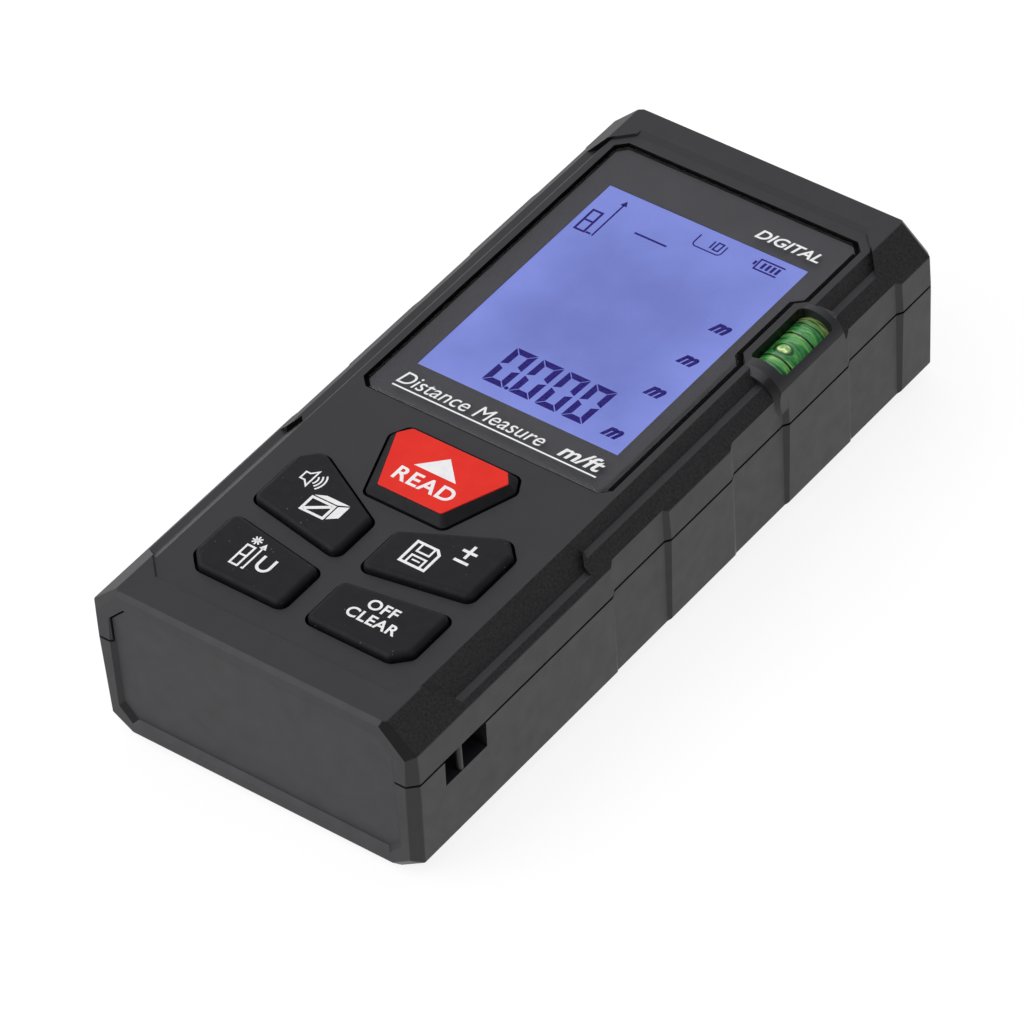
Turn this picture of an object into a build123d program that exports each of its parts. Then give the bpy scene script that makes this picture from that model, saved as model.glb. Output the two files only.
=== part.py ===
from build123d import *
import math
import os

# Hand-held laser distance meter, lying on its back.
# Millimetres. Origin at the middle of the back face, +Y towards the laser end, +Z out of the screen.

# ---- overall size ----
LENGTH = 112.0
HALF_L = LENGTH / 2
HALF_W = 25.5
BODY_H = 25.2
SEAM_Z = 16.35
WALL = 1.7
FLOOR = 1.8
FIT = 0.15

# ---- outer section, half width against height ----
BACK_HALF_W = 21.1
BACK_CHAMFER = (25.0, 2.6)
TOP_HALF_W = 21.25
BEVEL_FOOT = (25.45, 21.25)
END_CHAMFER = 1.3
END_LEAN = 0.36
TOP_CHAMFER = 0.6
EDGE_R = 0.35

# ---- grip recesses along each side: (start, end, near ramp, far ramp) in Y ----
RECESS_X = 24.95
RECESSES = [(-14.2, -3.6, 1.0, 0.8), (11.4, 22.1, 1.2, 0.8), (37.0, 47.5, 1.1, 0.9)]
LOWER_LEAN = 0.0233

# ---- front face: sunk plateau, ledges cut in both bevels ----
PLATEAU_Z = 24.9
PLATEAU_W = 20.9
PLATEAU_NEAR = -50.25
PLATEAU_FAR = 50.3
PLATEAU_FAR_TOP = 51.45
PLATEAU_CORNER = 2.5
PLATEAU_TAPER = -40
LOW_LEDGE = (23.6, 21.95)
HIGH_LEDGE = (22.2, 23.3)
LEDGE_JOG_Y = (-18.1, -16.5)
LEDGE_NEAR = ((20.6, -48.1), (24.7, -44.6))
LEDGE_FAR = ((23.3, 45.6), (20.9, 48.2))

# ---- hollow inside ----
INNER_W = 23.3
INNER_FLOOR_W = 21.5
INNER_TOP_W = 20.4
INNER_TOP_Z = 22.9
INNER_SIDE_TOP_Z = 20.1
NEAR_WALL_Y = -53.4
FAR_WALL_Y = 54.2
TONGUE_W = 0.8
TONGUE_H = 1.0
GROOVE_H = 0.38
GROOVE_DEPTH = 0.5

# ---- recessed end panel, which is part of the lower shell ----
PANEL_DEPTH = 0.6
PANEL_HALF_W = 22.0
PANEL_TOP_Z = 22.6
PANEL_CORNER = 2.4
PANEL_FOOT_Z = 3.5
PANEL_MOUTH_Z = 2.9
PANEL_BEVEL = 0.6
PANEL_GAP = 0.2

# ---- display ----
GLASS_HALF_W = 19.5
GLASS_NEAR = -7.85
GLASS_FAR = 48.4
GLASS_CORNER = 1.4
GLASS_T = 0.6
GLASS_NOTCH_X = 18.1
GLASS_NOTCH_Y = (21.3, 22.9, 34.7, 36.0)
MASK_T = 0.15
GLASS_GAP = 0.3
GLASS_BEVEL = 0.35
VIEW_X = (-15.95, 15.95)
VIEW_Y = (-0.6, 41.1)
RIM_GAP = 1.0
LCD_X = (-16.8, 16.8)
LCD_Y = (-1.5, 42.0)
LCD_TOP = PLATEAU_Z - GLASS_T - MASK_T - 0.05
LCD_T = 1.45
LIGHT_FAR = 43.2

# ---- keys ----
KEY_TOP = 25.9
KEY_TRAVEL = 0.8
KEY_GAP = 0.4
KEY_SOFT = 0.8
KEY_FLANGE = 0.5
KEY_FLANGE_T = 1.2
READ_KEY = [(-8.7, -11.2), (8.7, -11.2), (10.1, -13.8), (6.3, -24.2), (-6.3, -24.2), (-10.1, -13.8)]
READ_CAP = [(-7.5, -12.1), (7.5, -12.1), (8.85, -13.8), (5.05, -22.7), (-5.05, -22.7), (-8.85, -13.8)]
READ_CAP_TOP = 26.05
READ_CAP_T = 0.5
UPPER_KEY = [(17.3, -23.6), (15.0, -21.3), (13.8, -21.4), (1.6, -27.7), (1.6, -35.6), (17.3, -32.8)]
LOWER_KEY = [(17.3, -35.9), (1.6, -38.4), (1.6, -46.5), (15.1, -46.5), (17.3, -44.3)]
KEY_CORNER = 1.3
PILL_R = 1.6
PILL_T = 0.3

# ---- circuit board ----
PCB_TOP = 19.0
PCB_T = 1.6
PCB_BOTTOM = PCB_TOP - PCB_T
PCB_HALF_W = 21.5
PCB_NEAR = -52.0
PCB_FAR = 45.4
PCB_NOTCH = (16.9, 19.5, 37.0)
PCB_SCREWS = [(-19.9, -9.0), (19.9, -9.0), (-19.9, -39.0), (19.9, -39.0)]

# ---- level vial ----
VIAL_X = 21.5
VIAL_Z = 20.9
VIAL_R = 3.1
VIAL_BORE = 2.5
VIAL_Y = (22.6, 35.4)
VIAL_PLUG = 0.7
HOOD_R = 4.3
HOOD_Y = (20.6, 36.2)
HOOD_SLOPE = 0.9
VIAL_WINDOW_X = (19.45, 24.7)
VIAL_WINDOW_Y = (23.1, 34.3)
VIAL_WINDOW_R = 0.7
BUBBLE_R = 1.1
BUBBLE_HALF = 0.6
BUBBLE_Y = 27.8
BUBBLE_RISE = 1.1
BUBBLE_TRAVEL = (-3.2, 5.6)

# ---- battery bay ----
BAY_HALF_W = 11.3
BAY_WALL = 1.5
BAY_NEAR = -51.9
BAY_FAR = -3.5
BAY_TOP = 13.1
CELL_R = 5.25
CELL_L = 44.5
CELL_X = 5.6
CELL_Z = 7.45
NUB_R = 2.6
NUB_L = 0.9
CONTACT_T = 0.4
SPRING_L = 3.1
SPRING_R = 2.9
SPRING_WIRE = 0.25
COVER_HALF_W = 12.6
COVER_Y = (-50.0, -2.15)
COVER_TAB_X = 8.6
COVER_TAB_HALF = 2.4
COVER_TAB_END = 0.8
COVER_TAB_Z = (1.9, 2.8)

# ---- optics, all on one height ----
AXIS_Z = 10.3
LASER_X = -10.0
RECEIVER_X = 5.5
BARREL_R = 4.5
BARREL_BORE = 3.2
BARREL_Y = (24.0, 47.4)
LENS_R = 6.0
SEAT_GAP = 0.05
FRONT_WALL_Y = (48.0, 50.5)
BRACKET_HALF_W = 15.2
BRACKET_TOP = 16.8
BOARD_Y = (17.0, 18.2)
FRONT_OPENING = (19.5, 4.2, 21.0)
FRONT_FACE_Y = 55.2
FRONT_FLANGE_Y = (52.9, 54.1)
FRONT_FLANGE = 1.2

# ---- case fasteners ----
CASE_SCREW = [(-18.8, -50.3), (18.8, -50.3), (-18.8, 50.3), (18.8, 50.3)]
CASE_BOSS_R = 2.6
CASE_SHANK_R = 0.9
CASE_HEAD_R = 1.9
CASE_SEAT_Z = 6.0
BRACKET_SCREWS = [(-17.6, 18.0), (17.6, 18.0), (-17.6, 38.5), (17.6, 38.5)]
BRACKET_EAR_Z = (6.0, 7.4)
SMALL_SHANK_R = 0.7
SMALL_HEAD_R = 1.4

# ---- strap slot in the right-hand wall ----
SLOT_Y = (-49.8, -41.5)
SLOT_Z = (12.1, SEAM_Z - GROOVE_H / 2)
SLOT_DEPTH_X = 21.9
SLOT_POST_X = 24.8
SLOT_POST_Y = -46.4
SLOT_POST_R = 0.5


# ---------- helpers ----------
def mirrored(points):
    """A closed outline from its right-hand half."""
    return points + [(-x, y) for x, y in reversed(points)]


def flip(points):
    return [(-x, y) for x, y in points]


def plan(points, z0, z1, taper=0.0):
    """A prism that stands on the plane z0, from an outline in X and Y."""
    return Pos(0, 0, z0) * extrude(make_face(Polyline(*points, close=True)), z1 - z0, taper=taper)


def section(points, y0, y1):
    """A bar along Y, from an outline in X and Z."""
    face = make_face(Polyline(*[(x, 0, z) for x, z in points], close=True))
    return Pos(0, y0, 0) * extrude(face, y1 - y0, dir=(0, 1, 0))


def bar_across(points, half_w):
    """A bar along X, from an outline in Y and Z."""
    face = make_face(Polyline(*[(-half_w, y, z) for y, z in points], close=True))
    return extrude(face, 2 * half_w, dir=(1, 0, 0))


def block(x0, x1, y0, y1, z0, z1):
    centre = ((x0 + x1) / 2, (y0 + y1) / 2, (z0 + z1) / 2)
    return Pos(*centre) * Box(x1 - x0, y1 - y0, z1 - z0)


def post(x, y, z0, z1, r):
    return Pos(x, y, (z0 + z1) / 2) * Cylinder(r, z1 - z0)


def rod(x, z, y0, y1, r):
    """A cylinder along Y."""
    return Pos(x, (y0 + y1) / 2, z) * Rot(90, 0, 0) * Cylinder(r, y1 - y0)


def rounded(points, r):
    """An outline with each corner rounded."""
    face = make_face(Polyline(*points, close=True))
    return fillet(face.vertices(), r)


def solids_of(shapes):
    """Separate solids kept in one node."""
    return Compound(children=[s.solid() for s in shapes])


def screw(x, y, seat_z, head_r, head_h, shank_r, length, up=1):
    """A pan-head screw with a cross recess. up is +1 when its shank points to +Z."""
    head = Pos(0, 0, -head_h / 2) * Cylinder(head_r, head_h)
    head = fillet(head.edges().sort_by(Axis.Z)[0], head_h * 0.35)
    shank = Pos(0, 0, length / 2) * Cylinder(shank_r, length)
    cross_w = head_r * 0.32
    cross_l = head_r * 1.2
    cross_h = head_h * 0.5
    cross = Box(cross_l, cross_w, cross_h) + Box(cross_w, cross_l, cross_h)
    body = head + shank - Pos(0, 0, -head_h + cross_h / 2) * cross
    return Pos(x, y, seat_z) * (body if up > 0 else Rot(180, 0, 0) * body)


# ---------- the outside form ----------
def outer_form():
    half = [(BACK_HALF_W, 0.0), BACK_CHAMFER, (HALF_W, SEAM_Z), BEVEL_FOOT, (TOP_HALF_W, BODY_H)]
    body = section(mirrored(half), -HALF_L, HALF_L)
    ends = body.faces().filter_by(Axis.Y)
    rims = [e for f in ends for e in f.edges()]
    body = chamfer([e for e in rims if e.center().Z < BODY_H - 0.01], END_CHAMFER)
    body = fillet([e for e in body.edges() if abs(e.center().Z - SEAM_Z) > 0.01], EDGE_R)
    # Above the seam each end leans back a little, up to a chamfer along the top.
    for end in (-HALF_L, HALF_L):
        inward = -math.copysign(1.0, end)
        foot, rim = end + inward * END_LEAN, end + inward * (END_LEAN + TOP_CHAMFER)
        outside = end - inward
        body -= bar_across([
            (outside, SEAM_Z), (end, SEAM_Z), (foot, BODY_H - TOP_CHAMFER),
            (rim, BODY_H), (rim, BODY_H + 1), (outside, BODY_H + 1),
        ], HALF_W)
    for y0, y1, ramp0, ramp1 in RECESSES:
        for side in (1, -1):
            body -= recess_cutter(y0, y1, ramp0, ramp1, side)
    return body


def recess_cutter(y0, y1, ramp0, ramp1, side):
    """A shallow dished band down one side. Its floor leans with the wall below the seam."""
    reach = 1.0
    stretch = (HALF_W + reach - RECESS_X) / (HALF_W - RECESS_X)
    outline = [
        (side * RECESS_X, y0),
        (side * RECESS_X, y1),
        (side * (HALF_W + reach), y1 + ramp1 * stretch),
        (side * (HALF_W + reach), y0 - ramp0 * stretch),
    ]
    face = make_face(Polyline(*outline, close=True))
    above = Pos(0, 0, SEAM_Z) * extrude(face, BODY_H - SEAM_Z)
    below = Pos(0, 0, SEAM_Z) * extrude(face, SEAM_Z + 1.0, dir=(-side * LOWER_LEAN, 0, -1))
    return above + below


def plateau_cutter():
    near, far = PLATEAU_NEAR, PLATEAU_FAR
    half = [
        (PLATEAU_W - PLATEAU_CORNER, near),
        (PLATEAU_W, near + PLATEAU_CORNER),
        (PLATEAU_W, far - PLATEAU_CORNER),
        (PLATEAU_W - PLATEAU_CORNER, far),
    ]
    field = plan(mirrored(half), PLATEAU_Z, BODY_H + 0.1, taper=PLATEAU_TAPER)
    # A long shallow slope climbs out of the far end.
    slope = [(far - 1.0, PLATEAU_Z), (far, PLATEAU_Z), (PLATEAU_FAR_TOP, BODY_H), (far - 1.0, BODY_H + 0.1)]
    return field + bar_across(slope, PLATEAU_W - PLATEAU_CORNER)


def ledge_cutter(ledge, outline, side):
    """Everything above one ledge and outside the inner band of the bevel, within an outline."""
    edge_x, edge_z = ledge
    top = (PLATEAU_W - 0.1, PLATEAU_Z)
    rise = 1.2
    run = rise * (edge_x - top[0]) / (top[1] - edge_z)
    profile = [
        (edge_x, edge_z),
        (HALF_W + 1.0, edge_z),
        (HALF_W + 1.0, BODY_H + 1.0),
        (top[0] - run, top[1] + rise),
    ]
    bar = section([(side * x, z) for x, z in profile], -HALF_L, HALF_L)
    return bar & plan([(side * x, y) for x, y in outline], edge_z - 1.0, BODY_H + 1.0)


def ledge_cutters(side):
    (nx0, ny0), (nx1, ny1) = LEDGE_NEAR
    (fx0, fy0), (fx1, fy1) = LEDGE_FAR
    jog0, jog1 = LEDGE_JOG_Y
    wide = HALF_W + 2.0
    lean = (ny1 - ny0) / (nx1 - nx0)
    inside = PLATEAU_W - 2.0
    low = [
        (inside, ny0 - (nx0 - inside) * lean),
        (wide, ny1 + (wide - nx1) * lean),
        (wide, jog0),
        (LOW_LEDGE[0], jog0),
        (HIGH_LEDGE[0], jog1),
        (inside, jog1),
    ]
    fall = (fy1 - fy0) / (fx0 - fx1)
    high = [
        (inside, jog1),
        (HIGH_LEDGE[0], jog1),
        (LOW_LEDGE[0] + 0.6, jog0 + 0.6),
        (wide, jog0 + 0.6),
        (wide, fy0 - (wide - fx0) * fall),
        (inside, fy1 + (fx1 - inside) * fall),
    ]
    return [ledge_cutter(LOW_LEDGE, low, side), ledge_cutter(HIGH_LEDGE, high, side)]


def vial_hood():
    """The smooth round hood over the vial, with sloped ends."""
    hood = rod(VIAL_X, VIAL_Z, HOOD_Y[0], HOOD_Y[1], HOOD_R)
    hood = chamfer(hood.edges().filter_by(GeomType.CIRCLE), HOOD_SLOPE)
    return hood & block(VIAL_X - HOOD_R, HALF_W - 0.05, HOOD_Y[0], HOOD_Y[1], SEAM_Z, BODY_H)


def glass_outline(gap=0.0):
    """The display window's outline: cut corners, and a step round the vial hood."""
    w = GLASS_HALF_W + gap
    near, far, cut = GLASS_NEAR - gap, GLASS_FAR + gap, GLASS_CORNER
    notch = GLASS_NOTCH_X + gap
    y0, y1, y2, y3 = GLASS_NOTCH_Y
    return [
        (-w + cut, near),
        (w - cut, near),
        (w, near + cut),
        (w, y0 + gap),
        (notch, y1 + gap),
        (notch, y2 - gap),
        (w, y3 - gap),
        (w, far - cut),
        (w - cut, far),
        (-w + cut, far),
        (-w, far - cut),
        (-w, near + cut),
    ]


def panel_half(grow):
    """Right half of the end panel's outline in X and Z, grown outwards by a gap."""
    w = PANEL_HALF_W + grow
    top = PANEL_TOP_Z + grow
    return [(w, SEAM_Z), (w, top - PANEL_CORNER), (w - PANEL_CORNER, top)]


def panel_recess():
    """The sunk field of the near end, wider at its mouth."""
    near = -HALF_L
    faces = []
    for y, grow, foot in ((near, PANEL_BEVEL, PANEL_MOUTH_Z), (near + PANEL_DEPTH, 0.0, PANEL_FOOT_Z)):
        w = PANEL_HALF_W - 0.1 + grow
        top = PANEL_TOP_Z + grow * 0.3
        half = [(w - 2.0, foot), (w, foot + 2.2), (w, top - PANEL_CORNER), (w - PANEL_CORNER, top)]
        faces.append(make_face(Polyline(*[(x, y, z) for x, z in mirrored(half)], close=True)))
    return loft(faces, ruled=True)


def hollow():
    """The space inside both shells."""
    half = [
        (INNER_FLOOR_W, FLOOR),
        (INNER_W - 0.3, FLOOR + WALL),
        (INNER_W, SEAM_Z),
        (INNER_W, INNER_SIDE_TOP_Z),
        (INNER_TOP_W, INNER_TOP_Z),
    ]
    return section(mirrored(half), NEAR_WALL_Y, FAR_WALL_Y)


def seam_outline(inset):
    """The plan of the case at the seam, drawn in by a distance."""
    w, dish, end = HALF_W - inset, RECESS_X - inset, HALF_L - inset
    right = [(w - END_CHAMFER, -end), (w, -end + END_CHAMFER)]
    for y0, y1, ramp0, ramp1 in RECESSES:
        right += [(w, y0 - ramp0), (dish, y0), (dish, y1), (w, y1 + ramp1)]
    right += [(w, end - END_CHAMFER), (w - END_CHAMFER, end)]
    return mirrored(right)


def seam_groove():
    """The fine shadow gap round the outside between the shells."""
    z0, z1 = SEAM_Z - GROOVE_H / 2, SEAM_Z + GROOVE_H / 2
    slab = block(-HALF_W - 1, HALF_W + 1, -HALF_L - 1, HALF_L + 1, z0, z1)
    return slab - plan(seam_outline(GROOVE_DEPTH), z0 - 1, z1 + 1)


# ---------- keys ----------
def key_body(outline, corner):
    """A moulded key: its stem through the shell, soft top edges, and a flange that stops it inside."""
    flange_top = INNER_TOP_Z - 0.05
    stem_face = offset(rounded(outline, corner), -KEY_GAP / 2)
    stem = Pos(0, 0, flange_top - 0.5) * extrude(stem_face, KEY_TOP - flange_top + 0.5)
    stem = fillet(stem.faces().sort_by(Axis.Z)[-1].edges(), KEY_SOFT)
    flange_face = offset(rounded(outline, corner), KEY_FLANGE)
    flange = Pos(0, 0, flange_top - KEY_FLANGE_T) * extrude(flange_face, KEY_FLANGE_T)
    return stem + flange


def read_key_body():
    """The main key: sloping skirt round a pocket for the coloured insert."""
    flange_top = INNER_TOP_Z - 0.05
    base = offset(rounded(READ_KEY, 1.1), -KEY_GAP / 2)
    stem = Pos(0, 0, flange_top - 0.5) * extrude(base, PLATEAU_Z + 0.1 - flange_top + 0.5)
    rim = offset(rounded(READ_CAP, 0.45), 0.12)
    skirt = loft([Pos(0, 0, PLATEAU_Z + 0.1) * base, Pos(0, 0, READ_CAP_TOP - 0.12) * rim], ruled=True)
    flange_face = offset(rounded(READ_KEY, 1.1), KEY_FLANGE)
    flange = Pos(0, 0, flange_top - KEY_FLANGE_T) * extrude(flange_face, KEY_FLANGE_T)
    pocket = Pos(0, 0, READ_CAP_TOP - READ_CAP_T) * extrude(rounded(READ_CAP, 0.35), 1.0)
    return stem + skirt + flange - pocket


def read_cap_body():
    cap = Pos(0, 0, READ_CAP_TOP - READ_CAP_T) * extrude(rounded(READ_CAP, 0.35), READ_CAP_T)
    return chamfer(cap.faces().sort_by(Axis.Z)[-1].edges(), 0.06)


KEYS = {
    "key_read": (READ_KEY, 1.1),
    "key_function": (flip(UPPER_KEY), KEY_CORNER),
    "key_save": (UPPER_KEY, KEY_CORNER),
    "key_unit": (flip(LOWER_KEY), KEY_CORNER),
    "key_off": (LOWER_KEY, KEY_CORNER),
}


def key_centre(name):
    face = make_face(Polyline(*KEYS[name][0], close=True))
    return face.center()


def add_plunger(body, name):
    """The short stem under a key that carries its carbon pill."""
    c = key_centre(name)
    pill_bottom = PCB_TOP + KEY_TRAVEL + 0.06
    foot = post(c.X, c.Y, pill_bottom + PILL_T, INNER_TOP_Z - KEY_FLANGE_T, PILL_R + 0.25)
    pill = post(c.X, c.Y, pill_bottom, pill_bottom + PILL_T, PILL_R)
    return body + foot, pill


# ---------- shells ----------
def upper_shell(outer, inner):
    body = outer & block(-30, 30, -60, 60, SEAM_Z, 30)
    body -= plateau_cutter()
    for side in (1, -1):
        for cutter in ledge_cutters(side):
            body -= cutter
    body += vial_hood()
    body -= panel_recess()
    body -= section(mirrored(panel_half(PANEL_GAP)), -HALF_L - 1, NEAR_WALL_Y + 0.01)
    body -= inner
    # Vial cradle, open towards the inside so that the vial can be pressed in.
    cradle = rod(VIAL_X, VIAL_Z, VIAL_Y[0] - 0.9, VIAL_Y[1] + 0.7, HOOD_R)
    body += cradle & block(VIAL_X - HOOD_R, INNER_W + 0.5, *HOOD_Y, SEAM_Z + 1.6, PLATEAU_Z - 0.3)
    body -= rod(VIAL_X, VIAL_Z, VIAL_Y[0], VIAL_Y[1], VIAL_R)
    body -= block(VIAL_X - VIAL_R, VIAL_X + VIAL_R, VIAL_Y[0], VIAL_Y[1], SEAM_Z - 1, VIAL_Z)
    window = Rectangle(VIAL_WINDOW_X[1] - VIAL_WINDOW_X[0], VIAL_WINDOW_Y[1] - VIAL_WINDOW_Y[0])
    window = fillet(window.vertices(), VIAL_WINDOW_R)
    centre = (sum(VIAL_WINDOW_X) / 2, sum(VIAL_WINDOW_Y) / 2, VIAL_Z)
    body -= Pos(*centre) * extrude(window, 6.0)
    # Pocket for the glass, and the viewing opening under it.
    body -= plan(glass_outline(GLASS_GAP), PLATEAU_Z - GLASS_T - MASK_T, BODY_H + 1)
    rim_x = (VIEW_X[0] - RIM_GAP, VIEW_X[1] + RIM_GAP)
    rim_y = (VIEW_Y[0] - RIM_GAP, VIEW_Y[1] + RIM_GAP)
    body -= block(*rim_x, *rim_y, 20, 26)
    # Key openings.
    for outline, corner in KEYS.values():
        hole = offset(rounded(outline, corner), KEY_GAP / 2)
        body -= Pos(0, 0, INNER_TOP_Z - 1) * extrude(hole, 4.0)
    # Bosses for the case screws and the circuit board.
    for x, y in CASE_SCREW:
        body += post(x, y, SEAM_Z, INNER_TOP_Z + 0.2, CASE_BOSS_R - 0.1)
        body -= post(x, y, SEAM_Z - 1, INNER_TOP_Z - 1, CASE_SHANK_R)
    for x, y in PCB_SCREWS:
        body += post(x, y, PCB_TOP, INNER_TOP_Z + 0.2, 1.6) & hull_limit()
        body -= post(x, y, PCB_TOP - 1, INNER_TOP_Z - 0.6, SMALL_SHANK_R)
    body -= front_panel_opening()
    body -= seam_groove()
    return body


def hull_limit():
    """Keeps bosses that stand near the bevel inside the shell's own wall."""
    side = INNER_W + 0.4
    half = [(side, SEAM_Z), (side, INNER_SIDE_TOP_Z + 0.3), (INNER_TOP_W + 0.3, INNER_TOP_Z + 0.4)]
    return section(mirrored(half), -HALF_L + 3, HALF_L - 3)


def front_panel_opening():
    w, z0, z1 = FRONT_OPENING
    return block(-w, w, FAR_WALL_Y - 1, HALF_L + 1, z0, z1)


def tongue():
    """A lip on the lower shell that stands inside the upper one."""
    y0, y1 = NEAR_WALL_Y + 0.1, FRONT_FLANGE_Y[0] - 0.6
    w = INNER_W - 0.05
    ring = block(-w, w, y0, y1, SEAM_Z - 1.5, SEAM_Z + TONGUE_H)
    ring += block(-INNER_W - 0.4, INNER_W + 0.4, y0, y1, SEAM_Z - 1.5, SEAM_Z - 0.3)
    ring -= block(-w + TONGUE_W, w - TONGUE_W, y0 - 1, y1 + 1, SEAM_Z - 2, SEAM_Z + 3)
    return ring - block(VIAL_X - HOOD_R, 30, HOOD_Y[0] - 1, HOOD_Y[1] + 1, SEAM_Z, SEAM_Z + 4)


def lower_shell(outer, inner):
    body = outer & block(-30, 30, -60, 60, -1, SEAM_Z)
    end_wall = section(mirrored(panel_half(0.0)), -HALF_L, NEAR_WALL_Y)
    body += end_wall & outer
    body -= panel_recess()
    body -= inner
    body += tongue()
    # Battery bay walls and ceiling.
    outer_w = BAY_HALF_W + BAY_WALL
    body += block(-outer_w, outer_w, NEAR_WALL_Y - 0.1, BAY_FAR + BAY_WALL, FLOOR - 0.2, BAY_TOP + 1.2)
    body -= block(-BAY_HALF_W, BAY_HALF_W, BAY_NEAR, BAY_FAR, FLOOR, BAY_TOP)
    body -= block(
        -COVER_HALF_W - FIT, COVER_HALF_W + FIT, COVER_Y[0] - FIT, COVER_Y[1] + FIT, -1, FLOOR + 0.05
    )
    for side in (1, -1):
        x = side * COVER_TAB_X
        half = COVER_TAB_HALF + 0.3
        body -= block(x - half, x + half, BAY_FAR - 0.2, BAY_FAR + BAY_WALL + 0.2, FLOOR, 6.0)
    for x0, x1, y0, y1 in contact_tabs():
        body -= block(x0 - FIT, x1 + FIT, y0 - 0.05, y1 + 0.05, BAY_TOP - 1, BAY_TOP + 3)
    # Thumb scoop beside the cover.
    body -= Pos(0, COVER_Y[0] - FIT, -3.2) * Sphere(4.2)
    # Case screw bosses with deep counterbores from the back.
    for x, y in CASE_SCREW:
        body += post(x, y, 0.3, SEAM_Z, CASE_BOSS_R) & outer
        body -= post(x, y, -1, CASE_SEAT_Z, CASE_HEAD_R + 0.2)
        body -= post(x, y, 0, SEAM_Z + 2, CASE_SHANK_R + 0.15)
    for x, y in BRACKET_SCREWS:
        body += post(x, y, FLOOR - 0.2, BRACKET_EAR_Z[0], 2.2)
        body -= post(x, y, FLOOR + 0.4, BRACKET_EAR_Z[0] + 1, SMALL_SHANK_R)
    body -= front_panel_opening()
    # Strap slot, with a pocket behind it and a slim post to tie to.
    y0, y1 = SLOT_Y
    z0, z1 = SLOT_Z
    body += block(SLOT_DEPTH_X - 0.9, INNER_W + 0.3, y0 - 1.0, y1 + 1.0, z0 - 1.0, SEAM_Z) & outer
    roof_x = (SLOT_DEPTH_X - 0.4, INNER_W - 0.05)
    body += block(*roof_x, y0 - 1.0, y1 + 1.0, SEAM_Z - 0.2, SEAM_Z + TONGUE_H)
    slot = block(SLOT_DEPTH_X, HALF_W + 1, y0, y1, z0, z1)
    body -= slot
    body -= seam_groove()
    # The post's outer part rises through the shadow gap, so that the gap stops at it.
    tie = post(SLOT_POST_X, SLOT_POST_Y, z0 - 0.2, SEAM_Z + GROOVE_H / 2 - 0.03, SLOT_POST_R)
    tie -= block(0, HALF_W - GROOVE_DEPTH + 0.02, -HALF_L, HALF_L, SEAM_Z, SEAM_Z + 1)
    return body + tie


# ---------- battery compartment ----------
def contact_tabs():
    """Upright tabs of the two outer contacts, which pass through the bay's ceiling to the board."""
    return [
        (-CELL_X - 1.2, -CELL_X + 1.2, BAY_FAR - CONTACT_T, BAY_FAR),
        (CELL_X - 1.2, CELL_X + 1.2, BAY_FAR - CONTACT_T, BAY_FAR),
    ]


def battery_contacts():
    plates = []
    for x, (x0, x1, y0, y1) in zip((-CELL_X, CELL_X), contact_tabs()):
        plate = block(x - 3.6, x + 3.6, y0, y1, 6.2, 11.6)
        plates.append(plate + block(x0, x1, y0, y1, 11.0, PCB_BOTTOM))
    bridge = block(-9.4, 9.4, BAY_NEAR, BAY_NEAR + CONTACT_T, 4.2, 11.2)
    for side in (1, -1):
        bridge = bridge - Pos(side * 2.2, 0, 0) * block(-0.6, 0.6, BAY_NEAR - 1, BAY_NEAR + 1, 9.0, 12.0)
    return solids_of(plates + [bridge])


def battery_spring(x, y0, direction):
    """A conical-ended coil, drawn with a constant radius and flat seats on its contact plate."""
    turns_height = SPRING_L - 2 * SPRING_WIRE
    path = Helix(pitch=turns_height / 3, height=turns_height, radius=SPRING_R)
    wire = sweep(Plane(origin=path @ 0, z_dir=path % 0) * Circle(SPRING_WIRE), path=path, is_frenet=True)
    seat = Pos(0, 0, -SPRING_WIRE / 2) * (Cylinder(SPRING_R + 0.2, SPRING_WIRE) - Cylinder(SPRING_R - 0.4, 1))
    coil = wire + seat
    turn = Rot(-90, 0, 0) if direction > 0 else Rot(90, 0, 0)
    return Pos(x, y0 + direction * SPRING_WIRE, CELL_Z) * turn * coil


def cell(x, plus_y):
    """An AAA cell. plus_y is +1 when its button faces +Y."""
    y_plus = BAY_FAR - CONTACT_T if plus_y > 0 else BAY_NEAR + CONTACT_T
    y_minus = y_plus - plus_y * CELL_L
    shoulder = y_plus - plus_y * NUB_L
    can = rod(x, CELL_Z, min(shoulder, y_minus), max(shoulder, y_minus), CELL_R)
    can = fillet(can.edges().filter_by(GeomType.CIRCLE), 0.4)
    nub = rod(x, CELL_Z, min(shoulder, y_plus) - 0.2, max(shoulder, y_plus) + 0.2, NUB_R)
    nub = nub & block(-40, 40, min(y_minus, y_plus), max(y_minus, y_plus), 0, 20)
    return can + nub


def battery_cover():
    plate = block(-COVER_HALF_W, COVER_HALF_W, COVER_Y[0], COVER_Y[1], 0, FLOOR)
    plate = chamfer(plate.edges().filter_by(Axis.Z), 1.0)
    plate -= Pos(0, COVER_Y[0] - FIT, -3.2) * Sphere(4.2)
    # Grip ribs sunk in the outside face.
    for i in range(5):
        y = COVER_Y[0] + 3.2 + i * 1.3
        plate -= block(-6.0, 6.0, y, y + 0.5, -1, 0.25)
    for side in (1, -1):
        x = side * COVER_TAB_X
        z0, z1 = COVER_TAB_Z
        tab = block(x - COVER_TAB_HALF, x + COVER_TAB_HALF, BAY_FAR, COVER_TAB_END, z0, z1)
        root = block(x - COVER_TAB_HALF, x + COVER_TAB_HALF, BAY_FAR, COVER_Y[1], FLOOR - 0.3, z1)
        plate += tab + root
    latch = block(-3.0, 3.0, COVER_Y[0] + 0.1, COVER_Y[0] + 0.9, FLOOR - 0.3, FLOOR)
    return plate + latch


def cover_pad():
    return block(-9.0, 9.0, -40.0, -12.0, FLOOR, CELL_Z - CELL_R)


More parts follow.
